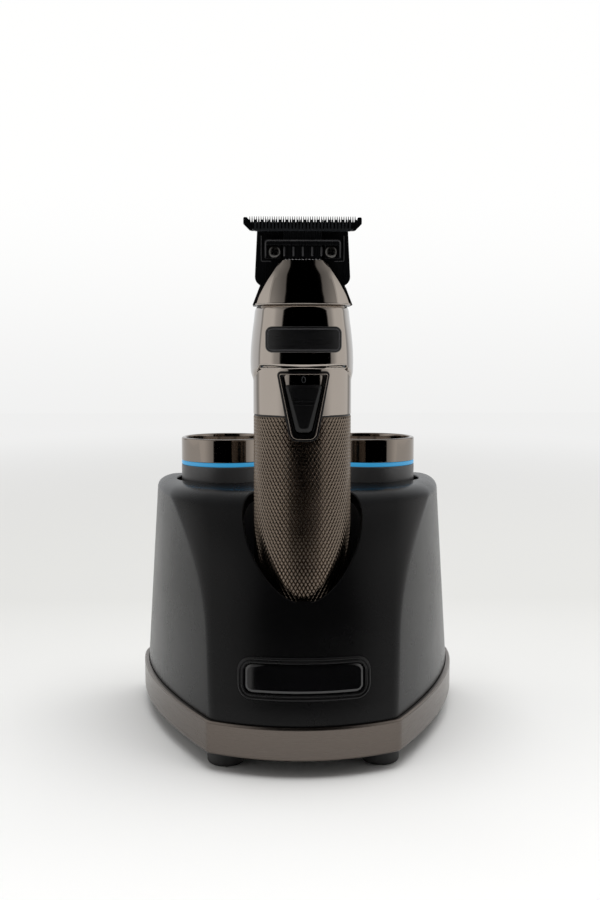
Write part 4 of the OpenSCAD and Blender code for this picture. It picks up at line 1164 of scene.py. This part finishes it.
def make_nose():
    """Polished wedge under the blade, hollow, with a slot for the cutter's stem and a lip along its foot."""
    nose = loft("nose", nose_loops(0.0), GUNMETAL, sharp=9.0)
    cut(nose, loft("hollow", nose_loops(1.2, 1.0, 0.3), GUNMETAL), 9.0)
    slot_hw = 8.4
    cut(nose, block("slot", (-slot_hw, AXIS_Y - CUTTER_FRONT - 0.3, HOUSING_TOP - 1.0),
                    (slot_hw, AXIS_Y, NOSE_TOP + 1.0), GUNMETAL), 9.0)
    bevel(nose, 0.14, 2, 40.0)
    place(nose, "clipper", "gunmetal", "nose_cap")
    pitch, count = 1.15, 11
    start = (-(count // 2) * pitch, AXIS_Y - (NOSE_FRONT - NOSE_ROWS[-1][3]) + 0.75, NOSE_TOP - 0.06)
    serration = tooth_row("cap_serration", start, pitch, count, (0.85, 0.7, 0.38), 0.1, SCREW_STEEL)
    place(serration, "clipper", "gunmetal")
    lip = [nose_loop(16.1 + grow, 11.8 + grow, NOSE_FRONT + grow, HOUSING_TOP + z)
           for grow, z in ((0.0, 0.02), (0.18, 0.1), (0.24, 0.25), (0.18, 0.42), (0.0, 0.55))]
    place(loft("nose_lip", lip, GUNMETAL, sharp=25.0), "clipper", "gunmetal")


def make_head_frame():
    """Black bracket behind the cap that carries the blade; its flanks show beside the cap."""
    loops = []
    for h, hw, rear in ((0.1, 17.3, 12.4), (6.6, 14.8, 8.6), (23.1, 13.8, 2.6)):
        half = [(hw, -BLADE_FRONT), (hw, rear - 2.0), (hw - 2.0, rear)]
        outline = half + [(-x, y) for x, y in half[::-1]]
        loops.append([(x, AXIS_Y + y, HOUSING_TOP + h) for x, y in outline])
    head = loft("head_bracket", loops, BLACK_PLASTIC)
    cut(head, block("seat", (-20.0, AXIS_Y - 20.0, STEM_BOTTOM - 0.3), (20.0, AXIS_Y - BLADE_BACK, TIP_Z),
                    BLACK_PLASTIC))
    cut(head, block("well", (-8.5, AXIS_Y - 20.0, HOUSING_TOP - 1.0),
                    (8.5, AXIS_Y + 5.5, STEM_BOTTOM + 0.2), BLACK_PLASTIC))
    bevel(head, 0.35, 3, 24.0)
    place(head, "clipper", "black_plastic", "head_frame")


# ---------------------------------------------------------------- blades

COMB_PITCH = 0.77
COMB_ROOT = TIP_Z - 1.95
COMB_FOOT = TIP_Z - 4.95
CUTTER_PITCH = 1.2
CUTTER_ROOT = TIP_Z - 4.5
CUTTER_BASE = TIP_Z - 5.2
SCREW_R = 2.1
SCREW_X = SCREWS.half - SCREW_R
SCREW_Z = SCREWS.middle[2]


def eased(path, radius, steps=5):
    """An open path with its corners rounded off."""
    out = [path[0]]
    for before, corner, after in zip(path, path[1:], path[2:]):
        p = Vector(corner)
        a = p + (Vector(before) - p).normalized() * radius
        b = p + (Vector(after) - p).normalized() * radius
        for k in range(steps + 1):
            t = k / steps
            out.append(tuple(a * (1 - t) ** 2 + p * (2 * t * (1 - t)) + b * t * t))
    return out + [path[-1]]


def raised_line(name, path, width, y_front, depth, material, edge=0.07):
    """A fine raised line with bevelled edges, swept on a plate along an open path in x and z."""
    half = width / 2
    section = [(-half, depth), (-half, edge), (-half + edge, 0.0), (half - edge, 0.0), (half, edge),
               (half, depth)]
    loops = []
    for k, point in enumerate(path):
        before, after = path[max(k - 1, 0)], path[min(k + 1, len(path) - 1)]
        along = (Vector(after) - Vector(before)).normalized()
        loops.append([(point[0] - along.y * across, AXIS_Y - y_front + down, point[1] + along.x * across)
                      for across, down in section])
    return loft(name, loops, material, sharp=30.0)


def centred_row(pitch, count, front, back, z):
    """Where a row of teeth starts, centred on the blade and inside its thickness."""
    return (-(count - 1) * pitch / 2, AXIS_Y - (front + back) / 2, z)


def make_fixed_blade():
    """Wide comb: stem plate, a bar with a hook at each end and fine teeth between the hooks."""
    hw = COMB.half
    stem = rounded([(-16.6, STEM_BOTTOM), (16.6, STEM_BOTTOM), (15.5, COMB_ROOT - 0.2),
                    (-15.5, COMB_ROOT - 0.2)], 3.2, 8)
    parts = [prism("comb", stem, BLADE_FRONT - 0.02, BLADE_BACK, BLACK_STEEL, 0.22),
             prism("bar", rectangle(hw - 2.6, COMB_FOOT, COMB_ROOT), BLADE_FRONT, BLADE_BACK, BLACK_STEEL,
                   0.2)]
    for side in (1, -1):
        hook = [(hw - 3.0, COMB_FOOT + 0.02), (hw - 2.2, TIP_Z - 4.8), (hw, TIP_Z - 2.6), (hw, TIP_Z - 0.35),
                (hw - 1.4, TIP_Z - 0.35), (hw - 1.7, COMB_ROOT - 0.02), (hw - 3.0, COMB_ROOT - 0.02)]
        outline = rounded([(side * x, z) for x, z in hook][::side], 0.45, 4)
        parts.append(prism("hook", outline, BLADE_FRONT + 0.02, BLADE_BACK, BLACK_STEEL, 0.2))
    count = int((2 * hw - 3.6) / COMB_PITCH)
    start = centred_row(COMB_PITCH, count, BLADE_FRONT, BLADE_BACK, COMB_ROOT - 0.05)
    tooth = (0.5, BLADE_FRONT - BLADE_BACK - 0.2, TIP_Z - COMB_ROOT + 0.05)
    parts.append(tooth_row("teeth", start, COMB_PITCH, count, tooth, 0.3, BLACK_STEEL))
    place(join("comb_plate", parts), "clipper", "black_steel", "fixed_blade")
    low, high = SCREW_Z - 3.0, COMB_FOOT - 1.7
    lines = [raised_line("edge", eased([(side * 10.9, low), (side * 14.2, low), (side * 14.2, high)], 0.5),
                         0.32, BLADE_FRONT + 0.2, 0.35, LINE_METAL) for side in (-1.0, 1.0)]
    place(join("comb_edges", lines), "clipper", "black_steel")


def make_guide():
    """Bent plate that holds the cutter against the comb: two legs joined by a bar, with a turned-up edge."""
    low, high = GUIDE.low, GUIDE.high
    leg_in, leg_out = 7.7, 13.0
    front = AXIS_Y - low[1]
    parts = []
    for side in (-1.0, 1.0):
        x0, x1 = sorted((side * leg_in, side * leg_out))
        parts.append(block("leg", (x0, AXIS_Y - CUTTER_FRONT, low[2]),
                           (x1, AXIS_Y - BLADE_FRONT - 0.01, high[2]), BLACK_STEEL, 0.2))
    bar = rounded(rectangle(leg_out, high[2] - 1.8, high[2]), 0.5, 4)
    parts.append(prism("bar", bar, front - 0.15, CUTTER_FRONT + 0.15, BLACK_STEEL, 0.15))
    place(join("blade_clamp", parts), "clipper", "black_steel", "blade_guide")
    x, foot, top = leg_out - 0.25, low[2] + 0.3, high[2] - 0.3
    path = eased([(-x, foot), (-x, top), (x, top), (x, foot)], 1.0)
    place(raised_line("clamp_edge", path, 0.42, front, 0.9, LINE_METAL), "clipper", "black_steel")


def make_cutter():
    """Sliding cutter: a toothed bar, a stem down to the yoke and upright ribs on the stem."""
    hw = CUTTER.half
    bar = rounded([(-hw + 1.1, CUTTER_BASE), (hw - 1.1, CUTTER_BASE), (hw, CUTTER_BASE + 0.6),
                   (hw, CUTTER_ROOT + 0.1), (-hw, CUTTER_ROOT + 0.1), (-hw, CUTTER_BASE + 0.6)], 0.12, 3)
    parts = [prism("cutter", bar, CUTTER_FRONT, CUTTER_BACK, CUTTER_STEEL, 0.18)]
    count = int((2 * hw - 0.6) / CUTTER_PITCH)
    start = centred_row(CUTTER_PITCH, count, CUTTER_FRONT, CUTTER_BACK, CUTTER_ROOT)
    tooth = (0.78, CUTTER_FRONT - CUTTER_BACK - 0.3, CUTTER.high[2] - CUTTER_ROOT)
    parts.append(tooth_row("teeth", start, CUTTER_PITCH, count, tooth, 0.72, CUTTER_STEEL))
    place(join("cutter", parts), "cutter", "black_steel", "moving_blade")
    stem = rounded(rectangle(6.5, CUTTER.low[2], CUTTER_BASE + 0.1), 0.3, 3)
    place(prism("cutter_stem", stem, CUTTER_FRONT - 0.02, CUTTER_BACK, BLACK_STEEL, 0.12), "cutter",
          "black_steel")
    rib = prism("rib", rectangle(0.3, 0.0, 3.2), 0.35, -0.2, BLACK_STEEL, 0.13, y0=0.0)
    spots = [(3.2 * k, AXIS_Y - CUTTER_FRONT, NOSE_TOP + 1.2) for k in range(-2, 3)]
    place(set_in_places("stem_ribs", rib, spots, LINE_METAL), "cutter", "black_steel")


def screw_head(radius, height, recess, material):
    """Low domed head, facing +Z, with a cross recess."""
    rim = height * 0.3
    dome = [math.radians(6 + 12 * k) for k in range(8)]
    profile = ([(radius - 0.08, 0.0), (radius, 0.1), (radius, rim)]
               + [(radius * math.cos(t), rim + (height - rim) * math.sin(t)) for t in dome])
    head = lathe("screw", profile, material, (0.0, 0.0), cyclic=False, steps=40)
    half = radius * recess
    for hx, hy in ((half, half * 0.27), (half * 0.27, half)):
        cut(head, block("arm", (-hx, -hy, height * 0.35), (hx, hy, height + 1.0), material))
    return head


def make_screws():
    head = screw_head(SCREW_R, 1.1, 0.55, SCREW_BLACK)
    turn = 0.6
    for vertex in head.data.vertices:
        x, y, z = vertex.co
        vertex.co = (x * math.cos(turn) - y * math.sin(turn), -z, x * math.sin(turn) + y * math.cos(turn))
    head.data.update()
    spots = [(x, AXIS_Y - CUTTER_FRONT, SCREW_Z) for x in (-SCREW_X, SCREW_X)]
    place(set_in_places("clamp_screws", head, spots, SCREW_BLACK), "clipper", "screw_black", "blade_screws")


def make_base_screws():
    """Eight pan heads in their counterbores under the bottom plate."""
    head = screw_head(2.8, 1.5, 0.6, SCREW_STEEL)
    for vertex in head.data.vertices:
        vertex.co.z = (1.6 * MM) - vertex.co.z
    head.data.flip_normals()
    boss = [(side_x(y) - SHELL_INSET - SHELL_WALL - 4.0 + 1.6, y) for y in (BACK_Y - 27.0, FRONT_Y + 34.0)]
    legs = [(30.0, WELL_Y - 22.0), (30.0, WELL_Y + 16.0)]
    points = [(sign * x, y, FOOT_H) for x, y in boss + legs for sign in (-1.0, 1.0)]
    screws = set_in_places("base_screw_heads", head, points, SCREW_STEEL)
    place(screws, "stand", "screw_steel", "base_screws")


def make_end_cap():
    """Turned plug at the lower end, with two recesses for its contact pads."""
    edge = 6.0
    profile = ([(0.3, CLIP_Z)] + arc(BARREL_R - edge, CLIP_Z + edge, edge, -90, 0, 14)
               + [(BARREL_R, CAP_TOP - 0.35), (BARREL_R - 0.2, CAP_TOP - 0.1), (14.9, CAP_TOP - 0.1),
                  (14.9, CAP_TOP), (0.3, CAP_TOP)])
    plug = lathe("end_plug", profile, BLACK_PLASTIC, cyclic=False)
    for side in (-1.0, 1.0):
        cut(plug, lathe("recess", [(2.1, CLIP_Z - 1.0), (2.1, CLIP_Z + 1.1)], BLACK_PLASTIC,
                        (side * 5.0, AXIS_Y), cyclic=False, steps=48))
    place(plug, "clipper", "black_plastic", "end_cap")


# ---------------------------------------------------------------- pieces kept from the frame

KEPT = {
    BLACK_PLASTIC: ("bottom_plate", "inner_deck", "chassis"),
    POCKET_BLACK: ("cradle_cup",),
    BOARD_GREEN: ("cradle_board", "dock_board", "circuit_board"),
    GOLD: ("cradle_contacts", "well_contacts_left", "well_contacts_right", "end_contacts"),
    BALLAST_STEEL: ("ballast_plate",),
    LED_WHITE: ("led_strip_left", "led_strip_right"),
    CELL_WRAP: ("battery_cell",),
    MOTOR_STEEL: ("motor_can", "motor_shaft"),
    SCREW_STEEL: ("motor_screws",),
    SATIN_BLACK: ("micro_switch",),
    ACETAL: ("drive_yoke", "eccentric"),
}


def dress_kept():
    for material, names in KEPT.items():
        for name in names:
            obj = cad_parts[name]
            if not obj.material_slots:
                obj.data.materials.append(material)
            for slot in obj.material_slots:
                slot.material = material


for make in (make_shell, make_band, make_feet, make_badge, make_wells, make_inlet, make_base_screws,
             make_barrel, make_housing, make_name_plate, make_bezel, make_numeral, make_slider, make_nose,
             make_head_frame, make_fixed_blade, make_guide, make_cutter, make_screws, make_end_cap,
             dress_kept):
    make()


# ---------------------------------------------------------------- studio

WHITE = (1.0, 1.0, 0.995, 1.0)


def ramp(value, low, high):
    """Rises smoothly from 0 to 1 as the value goes from low to high."""
    return wire(value.tree, "ShaderNodeMapRange", {"Value": value, "From Min": low, "From Max": high},
                interpolation_type="SMOOTHSTEP")


def seen_by(tree, kind):
    """1 for the given kind of ray and 0 for the rest."""
    return wire(tree, "ShaderNodeLightPath", output="Is " + kind + " Ray")


def make_floor():
    """A pale sheet that keeps the shadow and melts into the white surroundings far away. Its colour darkens
    from front to back as painted shade for the light falling off.
    """
    side, near, far = 1.3, -0.36, 2.1
    mesh = bpy.data.meshes.new("floor")
    mesh.from_pydata([(-side, near, 0.0), (side, near, 0.0), (side, far, 0.0), (-side, far, 0.0)],
                     [], [(0, 1, 2, 3)])
    floor = linked("floor", mesh)
    made, tree, inputs = shader("pale_floor", {"Roughness": 0.95, "Specular IOR Level": 0.0})
    coords = wire(tree, "ShaderNodeTexCoord", output="Object")
    y = wire(tree, "ShaderNodeSeparateXYZ", {0: coords}, 1)
    # Painted shade: the base colour goes from near white at the front to grey at the back, standing in for
    # the light falling off over the floor.
    tone = wire(tree, "ShaderNodeMapRange", {"Value": y, "From Min": -0.15, "From Max": 0.22})
    feed(inputs["Base Color"], blend(tree, tone, (0.955, 0.955, 0.95), (0.715, 0.715, 0.70)))
    oval = vector_maths(tree, "MULTIPLY", {0: coords, 1: (1.0, 0.62, 1.0)})
    away = vector_maths(tree, "LENGTH", {0: oval}, "Value")
    camera = seen_by(tree, "Camera")
    seen = camera + (seen_by(tree, "Glossy") + seen_by(tree, "Transmission"))
    white = node(tree, "ShaderNodeEmission", {"Color": WHITE, "Strength": camera * 0.07 + 0.8}).outputs[0]
    share = (seen * ramp(away, 0.15, 1.0)).maths("MAXIMUM", camera * ramp(y * -1.0, 0.2, 0.35))
    matt = tree.nodes["Principled BSDF"].outputs[0]
    both = wire(tree, "ShaderNodeMixShader", {0: share, 1: matt, 2: white})
    feed(tree.nodes["Material Output"].inputs["Surface"], both)
    mesh.materials.append(made)


def make_world():
    """White beyond the studio; for the light: a dark front, a soft wall on each side and a dim ceiling."""
    world = bpy.data.worlds.new("studio")
    bpy.context.scene.world = world
    world.use_nodes = True
    tree = world.node_tree
    way = wire(tree, "ShaderNodeTexCoord", output="Generated")
    x, y, z = (wire(tree, "ShaderNodeSeparateXYZ", {0: way}, k) for k in range(3))
    aside = (x.maths("ARCTAN2", y * -1.0) - math.radians(4.5)).maths("ABSOLUTE")
    rise = z.maths("ARCSINE")

    def edge(value, low, high):
        return ramp(value, math.radians(low), math.radians(high))

    wall = edge(aside, 36.5, 39.5) * (edge(aside, 37.0, 68.0) * 0.54 + 0.52)
    gap = edge(aside, 122.0, 131.0) - edge(aside, 137.0, 146.0)
    rear = edge(aside, 120.0, 137.0) * 0.12
    level = 0.88 - rear - edge(rise, 26.0, 60.0) * 0.52
    lit = tree.nodes["Background"]
    feed(lit.inputs["Color"], blend(tree, edge(aside, 133.0, 137.0), (1.0, 0.985, 0.965), (0.97, 0.985, 1.0)))
    feed(lit.inputs["Strength"], wall * (1.0 - gap * 0.42) * level + edge(rise, 76.0, 84.0) * 0.8)
    backdrop = edge(rise, -6.0, 8.0) * 0.13 + 0.87
    plain = wire(tree, "ShaderNodeBackground", {"Color": WHITE, "Strength": backdrop})
    both = wire(tree, "ShaderNodeMixShader", {0: seen_by(tree, "Camera"), 1: lit.outputs[0], 2: plain})
    feed(tree.nodes["World Output"].inputs["Surface"], both)


def add_top_lamp():
    """Broad lamp overhead that brings the floor and upper faces to a plain level."""
    data = bpy.data.lights.new("top_lamp", "AREA")
    data.shape = "RECTANGLE"
    data.size = data.size_y = 1.7
    data.energy = 24.0
    lamp = linked("top_lamp", data)
    lamp.location = (0.2, 0.12, 1.6)
    lamp.visible_glossy = False


make_floor()
make_world()
add_top_lamp()
bpy.context.scene.view_settings.view_transform = "Standard"
